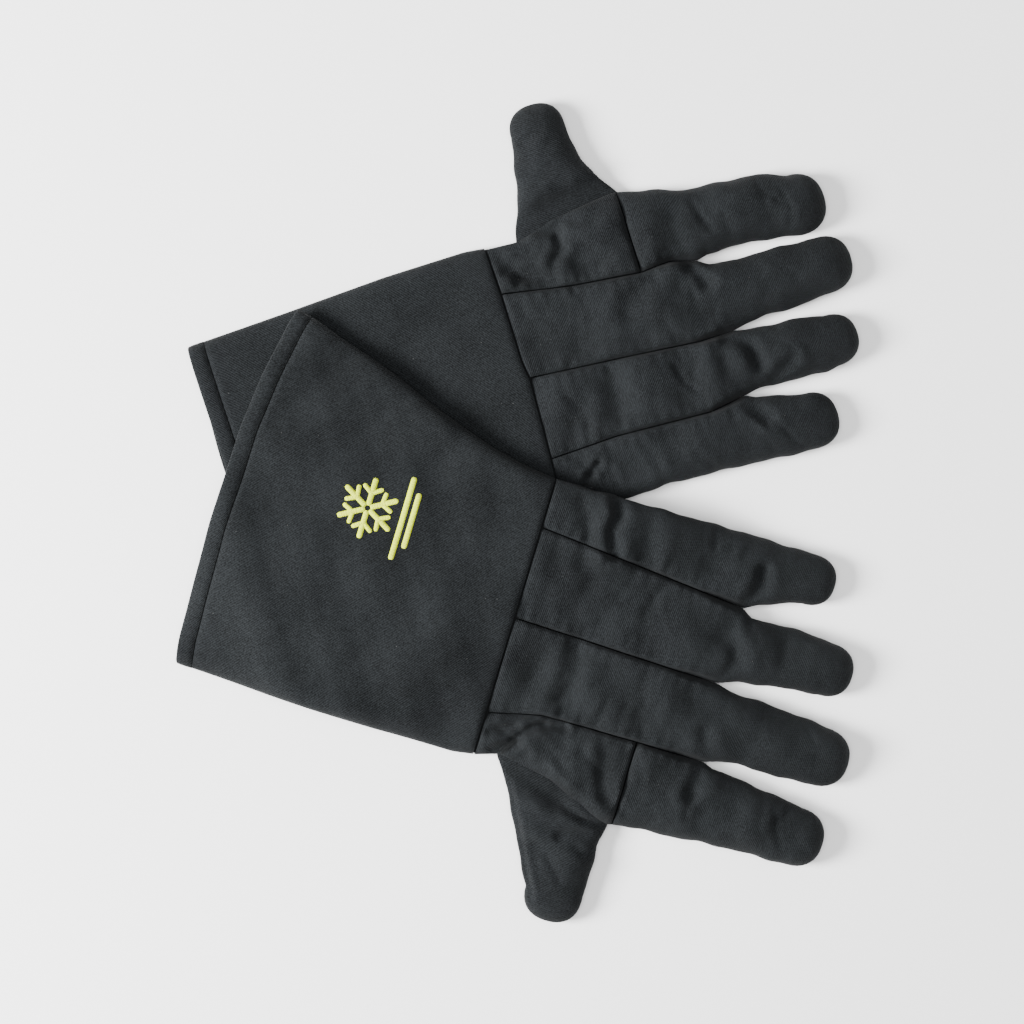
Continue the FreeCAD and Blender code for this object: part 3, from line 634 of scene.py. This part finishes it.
def along_groove(x, at):
    """The hollow of a seam that runs across the strips."""
    return 1 - seam_dip(np.abs(x - at))


def puckers(along, d):
    """Small gathers beside a seam."""
    waves = np.sin(along * 2 * math.pi / PUCKER["length"] + 0.9 * np.sin(along / 7.0))
    return PUCKER["height"] * waves * np.exp(-d / PUCKER["fade"]) * smooth(d / PUCKER["start"])


def finger_sheets(side, digit):
    start = CROSS_SEAM[side] if digit == "index" else 0.0
    plan = Digit(side, digit, start + SEAM_GAP)
    x, y = plan.s, plan.w
    seed = seed_of(side + digit)
    top = mix(hand_top(x), DIGIT_TOP[digit], smooth((x - DIGIT_RISE["from"]) / DIGIT_RISE["run"]))
    wear = ripple(x, y, seed, ((1.1, 36.0), (0.2, 13.0))) + bands(x, y, seed, 0.24, 23.0)
    wear = wear + puckers(x, plan.seam)
    wear = wear + wrinkles(x, y, seed + 1, 13, (10.0, 26.0), (1.5, 2.6), (0.2, 0.55), 0.7)
    share = plan.back * along_groove(x, start)
    z_back = MIDDLE_Z + (top - MIDDLE_Z + wear + creases(CREASES[side], x, y)) * share + lift(side, x, y)
    palm_x = np.where(x > start + 2 * SEAM_GAP, x, start)
    z_palm = MIDDLE_Z - (MIDDLE_Z - TABLE_Z) * plan.palm + lift(side, palm_x, plan.palm_w)
    return lay(side, x, y, z_back, True), lay(side, palm_x, plan.palm_w, z_palm, False)


def thumb_sheets(side):
    """The thumb. Its back starts inside the hand, under the panel that folds over it."""
    plan = Digit(side, "thumb", THUMB_START)
    x, y = plan.w, -plan.s
    out = curve(THUMB_FOLD[side], SOFT_SEAM)(x) - y
    merged = THUMB_MERGE[side] * smooth((x - MERGE_FROM) / MERGE_RUN)
    rise = smooth((out + THUMB_RISE["before"] + THUMB_RISE["merged"] * merged) / THUMB_RISE["run"])
    top = mix(THUMB_ROOT_TOP, DIGIT_TOP["thumb"], rise)
    seed = seed_of(side + "thumb")
    wear = ripple(x, y, seed, ((0.9, 32.0), (0.2, 12.0))) + bands(-y, x, seed, 0.3, 21.0)
    wear = wear + wrinkles(y, x, seed + 1, 9, (8.0, 20.0), (1.5, 2.6), (0.2, 0.5), 0.9)
    wear = (wear + creases(THUMB_CREASES[side], x, y)) * rise
    low = MIDDLE_Z - THUMB_LOWER
    z_back = low + (top - low + wear) * plan.back
    tucked = TUCK * (1 - smooth((out + TUCK_RUN) / TUCK_RUN))
    z_palm = np.minimum(low, low - (low - TABLE_Z) * plan.palm + tucked)
    return lay(side, x, y, z_back, True), lay(side, x, y, z_palm, False)


def base_sheets(side):
    """The panel behind the index finger, which folds over the thumb's root, and the palm below it."""
    fold, seam = curve(THUMB_FOLD[side], SOFT_SEAM), curve(SEAMS[side]["index_middle"], SOFT_SEAM)
    q = spread(COLUMNS)
    along = np.linspace(SEAM_GAP, CROSS_SEAM[side] - SEAM_GAP, BASE_ROWS)
    x = np.repeat(along[:, None], len(q), axis=1)
    low, high = fold(x), seam(x)
    y = low + q[None, :] * (high - SEAM_GAP - low)
    start, end = THUMB_ROOT[side]
    over_thumb = smooth((x - start) / FOLD_ENDS[0]) * smooth((end + 2 - x) / FOLD_ENDS[1])
    merged = THUMB_MERGE[side] * FOLD_EDGE["merged"] * smooth((x - MERGE_FROM) / MERGE_RUN)
    edge = mix(0.0, FOLD_EDGE["share"] + merged, over_thumb)
    share = edge + (1 - edge) * round_rise(y - low, mix(BACK_ROUND, FOLD_ROUND, over_thumb))
    share *= 1 - seam_dip(high - y)
    share *= along_groove(x, 0.0) * along_groove(x, CROSS_SEAM[side])
    seed = seed_of(side + "base")
    wear = ripple(x, y, seed, ((1.0, 30.0), (0.25, 13.0))) + puckers(x, high - y)
    wear = wear + wrinkles(x, y, seed + 1, 9, (8.0, 20.0), (1.5, 2.6), (0.2, 0.5), 1.2)
    held = lift(side, x, y)
    z_back = MIDDLE_Z + (hand_top(x) - MIDDLE_Z + wear + creases(CREASES[side], x, y)) * share + held
    palm_x = mix(0.0, CROSS_SEAM[side], (x - SEAM_GAP) / (CROSS_SEAM[side] - 2 * SEAM_GAP))
    palm_y = low + q[None, :] * (high - low)
    flat = 1 - (1 - over_thumb) * (1 - round_rise(palm_y - low, PALM_ROUND))
    z_palm = MIDDLE_Z - (MIDDLE_Z - TABLE_Z) * flat + held
    return lay(side, x, y, z_back, True), lay(side, palm_x, palm_y, z_palm, False)


# ---------------------------------------------------------------- the cuff
def cuff_grid(side, x_share, t):
    """x, y and edge distances of the cuff: x_share is 0 at the wrist seam and 1 at the hem, t runs across."""
    low, high = curve(CUFF_LOW[side], SOFT_CUFF), curve(CUFF_HIGH, SOFT_CUFF)
    hem = curve(HEM_EDGE[side], SOFT_CUFF)
    across = 0.55 * t + 0.45 * (1 - np.cos(math.pi * t)) / 2
    hem_y = mix(*HEM_ENDS, across)
    x = hem(hem_y) * x_share
    y = mix(low(x), high(x), across)
    return x, y, y - low(x), high(x) - y


def cuff_height(side, x, y, d_low, d_high, back):
    """Outside height of the cuff's back or palm."""
    reach = CUFF_ROUND if back else CUFF_PALM_ROUND
    share = round_rise(d_low, reach) * round_rise(d_high, reach)
    if not back:
        return CUFF_MIDDLE_Z - (CUFF_MIDDLE_Z - TABLE_Z) * share
    freedom = CUFF_FREEDOM[side]
    seed = seed_of(side + "cuff")
    wear = ripple(x, y, seed, ((1.6, 75.0), (0.9, 36.0), (0.15, 14.0))) * freedom
    wear = wear + creases(CUFF_CREASES[side], x, y) * mix(freedom, 1.0, 0.5)
    hem_line = curve(HEM_EDGE[side], SOFT_CUFF)(y) + HEM_WIDTH
    at_stitch = np.abs(x - hem_line)
    groove = STITCH_GROOVE["depth"] * (1 - smooth(at_stitch / STITCH_GROOVE["reach"]))
    wear = wear + puckers(y, at_stitch) - groove
    plump = 1 + WRIST_PLUMP["share"] * smooth((x + WRIST_PLUMP["run"]) / WRIST_PLUMP["run"])
    share = share * (1 - seam_dip(-x))
    return CUFF_MIDDLE_Z + (CUFF_TOP * plump - CUFF_MIDDLE_Z + wear) * share


def cuff_sheet(side, back, share_to):
    t = np.linspace(0, 1, CUFF_COLUMNS + 1)[None, :]
    shares = np.linspace(CUFF_START, share_to, CUFF_ROWS)[:, None]
    x, y, d_low, d_high = cuff_grid(side, shares, t)
    z = cuff_height(side, x, y, d_low, d_high, back) + lift(side, x, y)
    return lay(side, x, y, z, back)


def mouth_loop(side, share):
    """A closed loop round the cuff at a share of its length: x, y, z."""
    t = np.linspace(0, 1, CUFF_COLUMNS + 1)
    x, y, d_low, d_high = cuff_grid(side, share, t)
    held = lift(side, x, y)
    top = cuff_height(side, x, y, d_low, d_high, True) + held
    under = cuff_height(side, x, y, d_low, d_high, False) + held
    peek = PEEK[side] * smooth((y - PEEK_ALONG["from"]) / PEEK_ALONG["run"])
    under_x = x - peek * smooth((share - PEEK_START) / (1 - PEEK_START))
    return (np.concatenate([x, under_x[-2:0:-1]]), np.concatenate([y, y[-2:0:-1]]),
            np.concatenate([top, under[-2:0:-1]]))


def ring_object(name, side, profile, material):
    """A closed ring round the cuff, from a profile of (share of its length, depth under its outside)."""
    rings = []
    for share, depth in profile:
        x, y, z = mouth_loop(side, share)
        dy, dz = np.roll(y, -1) - np.roll(y, 1), np.roll(z, -1) - np.roll(z, 1)
        size = np.maximum(np.hypot(dy, dz), TINY)
        y, z = y + dz / size * depth, z - dy / size * depth
        px, py = to_pair(side, bowed(side, x, y), y)
        rings.append(np.stack([px, py, z], axis=1))
    points = np.array(rings)
    rows, count = points.shape[:2]
    faces = [[i * count + j, i * count + (j + 1) % count, (i + 1) % rows * count + (j + 1) % count,
              (i + 1) % rows * count + j] for i in range(rows) for j in range(count)]
    run = np.cumsum(np.linalg.norm(np.roll(points, -1, axis=1) - points, axis=2), axis=1)
    deep = np.cumsum(np.linalg.norm(points - np.roll(points, 1, axis=0), axis=2), axis=0)
    uvs = np.stack([deep, run], axis=2).reshape(-1, 2)
    return make_object(name, points.reshape(-1, 3).tolist(), faces, uvs.tolist(), material)


# ---------------------------------------------------------------- materials
def node(tree, kind, **values):
    made = tree.nodes.new(kind)
    for key, value in values.items():
        setattr(made, key, value)
    return made


def maths(tree, operation, a, b=None, c=None):
    made = node(tree, "ShaderNodeMath", operation=operation)
    for socket, value in zip(made.inputs, (a, b, c)):
        if value is None:
            continue
        if isinstance(value, (int, float)):
            socket.default_value = value
        else:
            tree.links.new(value, socket)
    return made.outputs[0]


def noise(tree, uv, scale, detail):
    made = node(tree, "ShaderNodeTexNoise")
    made.inputs["Scale"].default_value = scale
    made.inputs["Detail"].default_value = detail
    tree.links.new(uv.outputs[0], made.inputs["Vector"])
    return made.outputs[0]


def ribs(tree, uv, pitch, angle):
    """The weave's height: diagonal ribs at a pitch in metres, with a finer pattern across them."""
    parts = node(tree, "ShaderNodeSeparateXYZ")
    tree.links.new(uv.outputs[0], parts.inputs[0])
    turn = math.radians(angle)
    along = maths(tree, "MULTIPLY", parts.outputs[0], 2 * math.pi * math.sin(turn) / pitch)
    phase = maths(tree, "MULTIPLY_ADD", parts.outputs[1], 2 * math.pi * math.cos(turn) / pitch, along)
    rib = maths(tree, "SINE", phase)
    cross = maths(tree, "SINE", maths(tree, "MULTIPLY", parts.outputs[0], 2 * math.pi / (0.62 * pitch)))
    return maths(tree, "MULTIPLY_ADD", cross, 0.35, rib)


def fabric(name, dark, light, pitch, angle, roughness, sheen, bump, lint=0.0):
    """Woven cloth with its pitch in millimetres, thread colour that wanders, and a little lint."""
    material = bpy.data.materials.new(name)
    material.use_nodes = True
    tree = material.node_tree
    shader = tree.nodes["Principled BSDF"]
    shader.inputs["Roughness"].default_value = roughness
    shader.inputs["Sheen Weight"].default_value = sheen
    shader.inputs["Sheen Roughness"].default_value = 0.5
    shader.inputs["Specular IOR Level"].default_value = 0.12
    uv = node(tree, "ShaderNodeUVMap", uv_map="cloth")
    weave = ribs(tree, uv, pitch * MM, angle)
    cloud = noise(tree, uv, 28.0, 5.0)
    mottle = noise(tree, uv, 190.0, 4.0)
    grain = noise(tree, uv, 900.0, 2.0)
    tone = maths(tree, "MULTIPLY_ADD", weave, 0.2, 0.5)
    for part, weight in ((cloud, 0.6), (mottle, 0.5), (grain, 2.1)):
        tone = maths(tree, "ADD", tone, maths(tree, "MULTIPLY_ADD", part, weight, -weight / 2))
    ramp = node(tree, "ShaderNodeValToRGB")
    ramp.color_ramp.elements[0].color = (*dark, 1)
    ramp.color_ramp.elements[1].color = (*light, 1)
    tree.links.new(tone, ramp.inputs[0])
    colour = ramp.outputs[0]
    if lint:
        colour = add_lint(tree, uv, colour, lint)
    tree.links.new(colour, shader.inputs["Base Color"])
    height = maths(tree, "MULTIPLY_ADD", grain, 1.2, weave)
    bumped = node(tree, "ShaderNodeBump")
    bumped.inputs["Strength"].default_value = bump
    bumped.inputs["Distance"].default_value = 0.0002
    tree.links.new(height, bumped.inputs["Height"])
    tree.links.new(bumped.outputs[0], shader.inputs["Normal"])
    return material


def add_lint(tree, uv, colour, amount):
    """Pale specks of lint, well apart."""
    cells = node(tree, "ShaderNodeTexVoronoi")
    cells.inputs["Scale"].default_value = 150.0
    tree.links.new(uv.outputs[0], cells.inputs["Vector"])
    split = node(tree, "ShaderNodeSeparateColor")
    tree.links.new(cells.outputs["Color"], split.inputs[0])
    rare = maths(tree, "GREATER_THAN", split.outputs[0], 1 - amount)
    small = maths(tree, "LESS_THAN", cells.outputs["Distance"], 0.045)
    speck = maths(tree, "MULTIPLY", rare, small)
    blend = node(tree, "ShaderNodeMix", data_type="RGBA")
    tree.links.new(maths(tree, "MULTIPLY", speck, 0.4), blend.inputs[0])
    tree.links.new(colour, blend.inputs[6])
    blend.inputs[7].default_value = (0.08, 0.08, 0.077, 1)
    return blend.outputs[2]


TWILL = fabric("charcoal_twill", dark=(0.0016, 0.0020, 0.0023), light=(0.0120, 0.0138, 0.0152),
               pitch=1.1, angle=52, roughness=0.9, sheen=0.02, bump=0.6, lint=0.14)
# The lining's own dark colour, kept as dark as the shell so that it also paints the seams' shade where it
# shows through their gaps.
LINING_AND_SEAM_SHADE = fabric("dark_lining_and_seam_shade", dark=(0.002, 0.0024, 0.0026), light=(0.010, 0.011, 0.0115),
                pitch=0.9, angle=20, roughness=0.95, sheen=0.03, bump=0.4)
# Near-black colour of the ring under the wrist seam: painted shade for the seam's dark line.
PAINTED_SEAM_SHADE = fabric("painted_seam_shade", dark=(0.001, 0.0012, 0.0013), light=(0.004, 0.0045, 0.005),
              pitch=0.8, angle=60, roughness=0.95, sheen=0.03, bump=0.4)
THREAD = fabric("dark_thread", dark=(0.0012, 0.0015, 0.0016), light=(0.006, 0.0068, 0.0074),
                pitch=0.5, angle=60, roughness=0.8, sheen=0.03, bump=0.5)
YELLOW = fabric("yellow_thread", dark=(0.52, 0.62, 0.018), light=(0.80, 0.92, 0.045),
                pitch=0.55, angle=90, roughness=0.6, sheen=0.02, bump=0.6)
# Each kind of cloth: the depths it lies at under its sheet, and its material.
CLOTH = {"shell": ((0.0, SHELL), TWILL), "lining": ((LINING_FROM, LINING_TO), LINING_AND_SEAM_SHADE)}


# ---------------------------------------------------------------- building the pieces
def pair_point(side, x, y):
    """A glove's own point on the surface it lies on, in the pair's frame and in metres."""
    px, py = to_pair(side, x, y)
    return Vector((px * MM, py * MM, 0.0))


def thumb_root(side):
    """The middle of the thumb's root, and the direction from it out along the thumb."""
    fold = curve(THUMB_FOLD[side], SOFT_SEAM)
    a, b = (pair_point(side, x, float(fold(x))) for x in THUMB_ROOT[side])
    out = (b - a).cross(Vector((0, 0, 1))).normalized() * PLACE[side]["mirror"]
    return (a + b) / 2, out


def bend(obj, side, digit):
    """Bakes a digit's piece's placement into its mesh; for the thumb the root and the direction out along it
    are worked out but not used.
    """
    if digit == "thumb":
        root, out = thumb_root(side)
    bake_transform(obj)


def cloth_piece(name, sheets, slot):
    depths, material = CLOTH[slot]
    obj = make_object(name, *layer_mesh(sheets, *depths), material)
    declare(sheets)
    return obj


def build_digit(side, digit):
    back, palm = thumb_sheets(side) if digit == "thumb" else finger_sheets(side, digit)
    label = "%s_%s" % (side, digit)
    top = cloth_piece(label + "_back_cloth", [back], "shell")
    under = cloth_piece(label + "_palm_cloth", [palm.coarse()], "shell")
    inside = [back.coarse(), palm.coarse()]
    lined = cloth_piece(label + "_lining_cloth", inside, "lining")
    for obj in (top, under, lined):
        bend(obj, side, digit)
    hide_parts(label + "_back", *([] if digit == "thumb" else [label + "_strip"]))
    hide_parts(label + "_front", *([side + "_palm_panel"] if digit == "middle" else []))
    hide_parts(label + "_lining")


def build_base(side):
    back, palm = base_sheets(side)
    body = side + "_glove"
    top = cloth_piece(side + "_index_base_cloth", [back], "shell")
    under = cloth_piece(side + "_palm_base_cloth", [palm.coarse()], "shell")
    inside = [back.coarse(), palm.coarse()]
    lined = cloth_piece(side + "_base_lining_cloth", inside, "lining")
    for obj in (top, under, lined):
        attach(obj, body)
    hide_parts(side + "_index_base_panel")
    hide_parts(side + "_hand_lining")


def build_cuff(side):
    body = side + "_glove"
    hem_share = 1 - HEM_WIDTH / CUFF_LENGTH
    profile = [(mix(hem_share + HEM_CLEARANCE, 1.0, t), depth) for t, depth in HEM_PROFILE]
    hem = ring_object(side + "_hem_cloth", side, profile, TWILL)
    # A near-black ring under the wrist seam's gap, which paints the seam's shade.
    seam = ring_object(side + "_wrist_painted_shade", side, SEAM_SHADE_PROFILE, PAINTED_SEAM_SHADE)
    sewn_on = [hem, seam, build_badge(side), build_hem_stitches(side)]
    back, palm = (cuff_sheet(side, is_back, hem_share) for is_back in (True, False))
    top = cloth_piece(side + "_cuff_back_cloth", [back], "shell")
    under = cloth_piece(side + "_cuff_palm_cloth", [palm], "shell")
    lined = cloth_piece(side + "_cuff_lining_cloth", [back, palm], "lining")
    for obj in (top, under, lined, hem, seam):
        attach(obj, body)
    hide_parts(side + "_cuff_back_panel")
    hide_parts(side + "_cuff_palm_panel")
    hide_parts(side + "_cuff_lining")
    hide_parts(side + "_hem_band")
    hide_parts(side + "_wrist_seam")


# ---------------------------------------------------------------- embroidery and stitching
SATIN_STEP = 1.0
SATIN_COLUMNS = 6
SATIN_SINK = 0.25         # how far a stroke's underside is in the cloth
SATIN_END = {"width": 0.35, "height": 0.4}    # how blunt a stroke's two ends are
BADGE = {"at": (-91.0, 35.0), "height": 0.75}
SNOWFLAKE = {"beside": -6.0, "arms": 6, "from": 1.5, "to": 17.5, "width": 3.1}
TWIG = {"at": 8.5, "length": 7.0, "turn": 55, "width": 2.6}
BARS = {"beside": 14.5, "step": 5.2, "halves": (24.0, 16.0), "width": 3.2}
STITCHES = {"from": -74.0, "count": 56, "step": 3.6, "length": 2.6, "width": 0.7, "height": 0.35, "in": 0.6}


def cuff_surface(side, x, y):
    """Height of the cuff's back at a point."""
    x, y = np.atleast_1d(np.asarray(x, float)), np.atleast_1d(np.asarray(y, float))
    low, high = curve(CUFF_LOW[side], SOFT_CUFF), curve(CUFF_HIGH, SOFT_CUFF)
    return cuff_height(side, x, y, y - low(x), high(x) - y, True) + lift(side, x, y)


def satin_stroke(side, start, end, width, height):
    """Vertices, faces and uvs of one raised satin stitch bar lying on the cuff."""
    start, end = np.array(start, float), np.array(end, float)
    length = np.linalg.norm(end - start)
    ahead = (end - start) / length
    across = np.array([-ahead[1], ahead[0]])
    rows = max(3, int(length / SATIN_STEP))
    verts, uvs = [], []
    for top in (True, False):
        for i in range(rows + 1):
            t = i / rows
            wide = width / 2 * min(1.0, (min(t, 1 - t) * length / (width / 2) + SATIN_END["width"]) ** 0.5)
            arch = height * (1 if 0 < i < rows else SATIN_END["height"])
            for v in np.linspace(-1, 1, SATIN_COLUMNS + 1):
                x, y = start + ahead * length * t + across * wide * v
                z = float(cuff_surface(side, x, y)[0])
                z += arch * math.sqrt(max(0.0, 1 - v * v)) if top else -SATIN_SINK
                verts.append([*to_pair(side, x, y), z])
                uvs.append([t * length, v * wide])
    return verts, layer_faces(rows + 1, SATIN_COLUMNS + 1), uvs


def joined(parts):
    verts, faces, uvs = [], [], []
    for v, f, u in parts:
        faces += [[k + len(verts) for k in face] for face in f]
        verts += v
        uvs += u
    return verts, faces, uvs


def heading(degrees):
    return np.array([math.cos(math.radians(degrees)), math.sin(math.radians(degrees))])


def badge_strokes():
    """A plain snowflake with branched arms, and two bars beside it, as (start, end, width)."""
    x, y = BADGE["at"]
    centre = np.array([x + SNOWFLAKE["beside"], y])
    strokes = []
    for k in range(SNOWFLAKE["arms"]):
        degrees = 360 / SNOWFLAKE["arms"] * k + 30
        ray = heading(degrees)
        strokes.append((centre + ray * SNOWFLAKE["from"], centre + ray * SNOWFLAKE["to"], SNOWFLAKE["width"]))
        fork = centre + ray * TWIG["at"]
        for turn in (-TWIG["turn"], TWIG["turn"]):
            strokes.append((fork, fork + heading(degrees + turn) * TWIG["length"], TWIG["width"]))
    for k, half in enumerate(BARS["halves"]):
        bar_x = x + BARS["beside"] + BARS["step"] * k
        strokes.append(((bar_x, y - half), (bar_x, y + half), BARS["width"]))
    return strokes


def build_badge(side):
    parts = [satin_stroke(side, *stroke, BADGE["height"]) for stroke in badge_strokes()]
    badge = make_object(side + "_badge_embroidery", *joined(parts), YELLOW)
    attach(badge, side + "_glove")
    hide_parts(side + "_embroidered_badge")
    return badge


def build_hem_stitches(side):
    """A row of stitches along the hem on the back of the cuff."""
    hem = curve(HEM_EDGE[side], SOFT_CUFF)
    parts = []
    for k in range(STITCHES["count"]):
        y = STITCHES["from"] + STITCHES["step"] * k
        ends = [(float(hem(v)) + HEM_WIDTH - STITCHES["in"], v) for v in (y, y + STITCHES["length"])]
        parts.append(satin_stroke(side, *ends, STITCHES["width"], STITCHES["height"]))
    stitches = make_object(side + "_hem_stitches", *joined(parts), THREAD)
    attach(stitches, side + "_glove")
    return stitches


for glove in SIDES:
    build_cuff(glove)
    build_base(glove)
    for name in DIGITS:
        build_digit(glove, name)


# ---------------------------------------------------------------- table, light and camera, in metres
CAMERA = {"at": (-0.0027, 0.0002, 1.508), "above": 1.5, "view": 0.5806}
FLOOR = {"size": 6.0, "z": -0.0002}


def build_stage():
    bpy.ops.mesh.primitive_plane_add(size=FLOOR["size"], location=(0, 0, FLOOR["z"]))
    floor = bpy.context.object
    floor.name = "floor"
    paper = bpy.data.materials.new("white_paper")
    paper.use_nodes = True
    shader = paper.node_tree.nodes["Principled BSDF"]
    shader.inputs["Base Color"].default_value = (0.95, 0.95, 0.95, 1)
    shader.inputs["Roughness"].default_value = 0.9
    floor.data.materials.append(paper)
    world = bpy.data.worlds.new("studio")
    bpy.context.scene.world = world
    world.use_nodes = True
    background = world.node_tree.nodes["Background"]
    background.inputs["Color"].default_value = (1, 1, 1, 1)
    background.inputs["Strength"].default_value = 0.5


def soft_light(name, place, size, power):
    data = bpy.data.lights.new(name, "AREA")
    data.size = size
    data.energy = power
    light = bpy.data.objects.new(name, data)
    light.location = place
    light.rotation_euler = (-Vector(place)).to_track_quat("-Z", "Y").to_euler()
    bpy.context.scene.collection.objects.link(light)


def build_camera():
    """Looks straight down at a view of a set width, at a set distance below it."""
    data = bpy.data.cameras.new("camera")
    data.lens = data.sensor_width * CAMERA["above"] / CAMERA["view"]
    camera = bpy.data.objects.new("camera", data)
    camera.location = CAMERA["at"]
    bpy.context.scene.collection.objects.link(camera)
    bpy.context.scene.camera = camera


build_stage()
soft_light("key", (-1.6, -0.15, 1.0), 0.7, 165.0)
soft_light("top", (0.0, 0.0, 2.4), 1.6, 58.0)
build_camera()
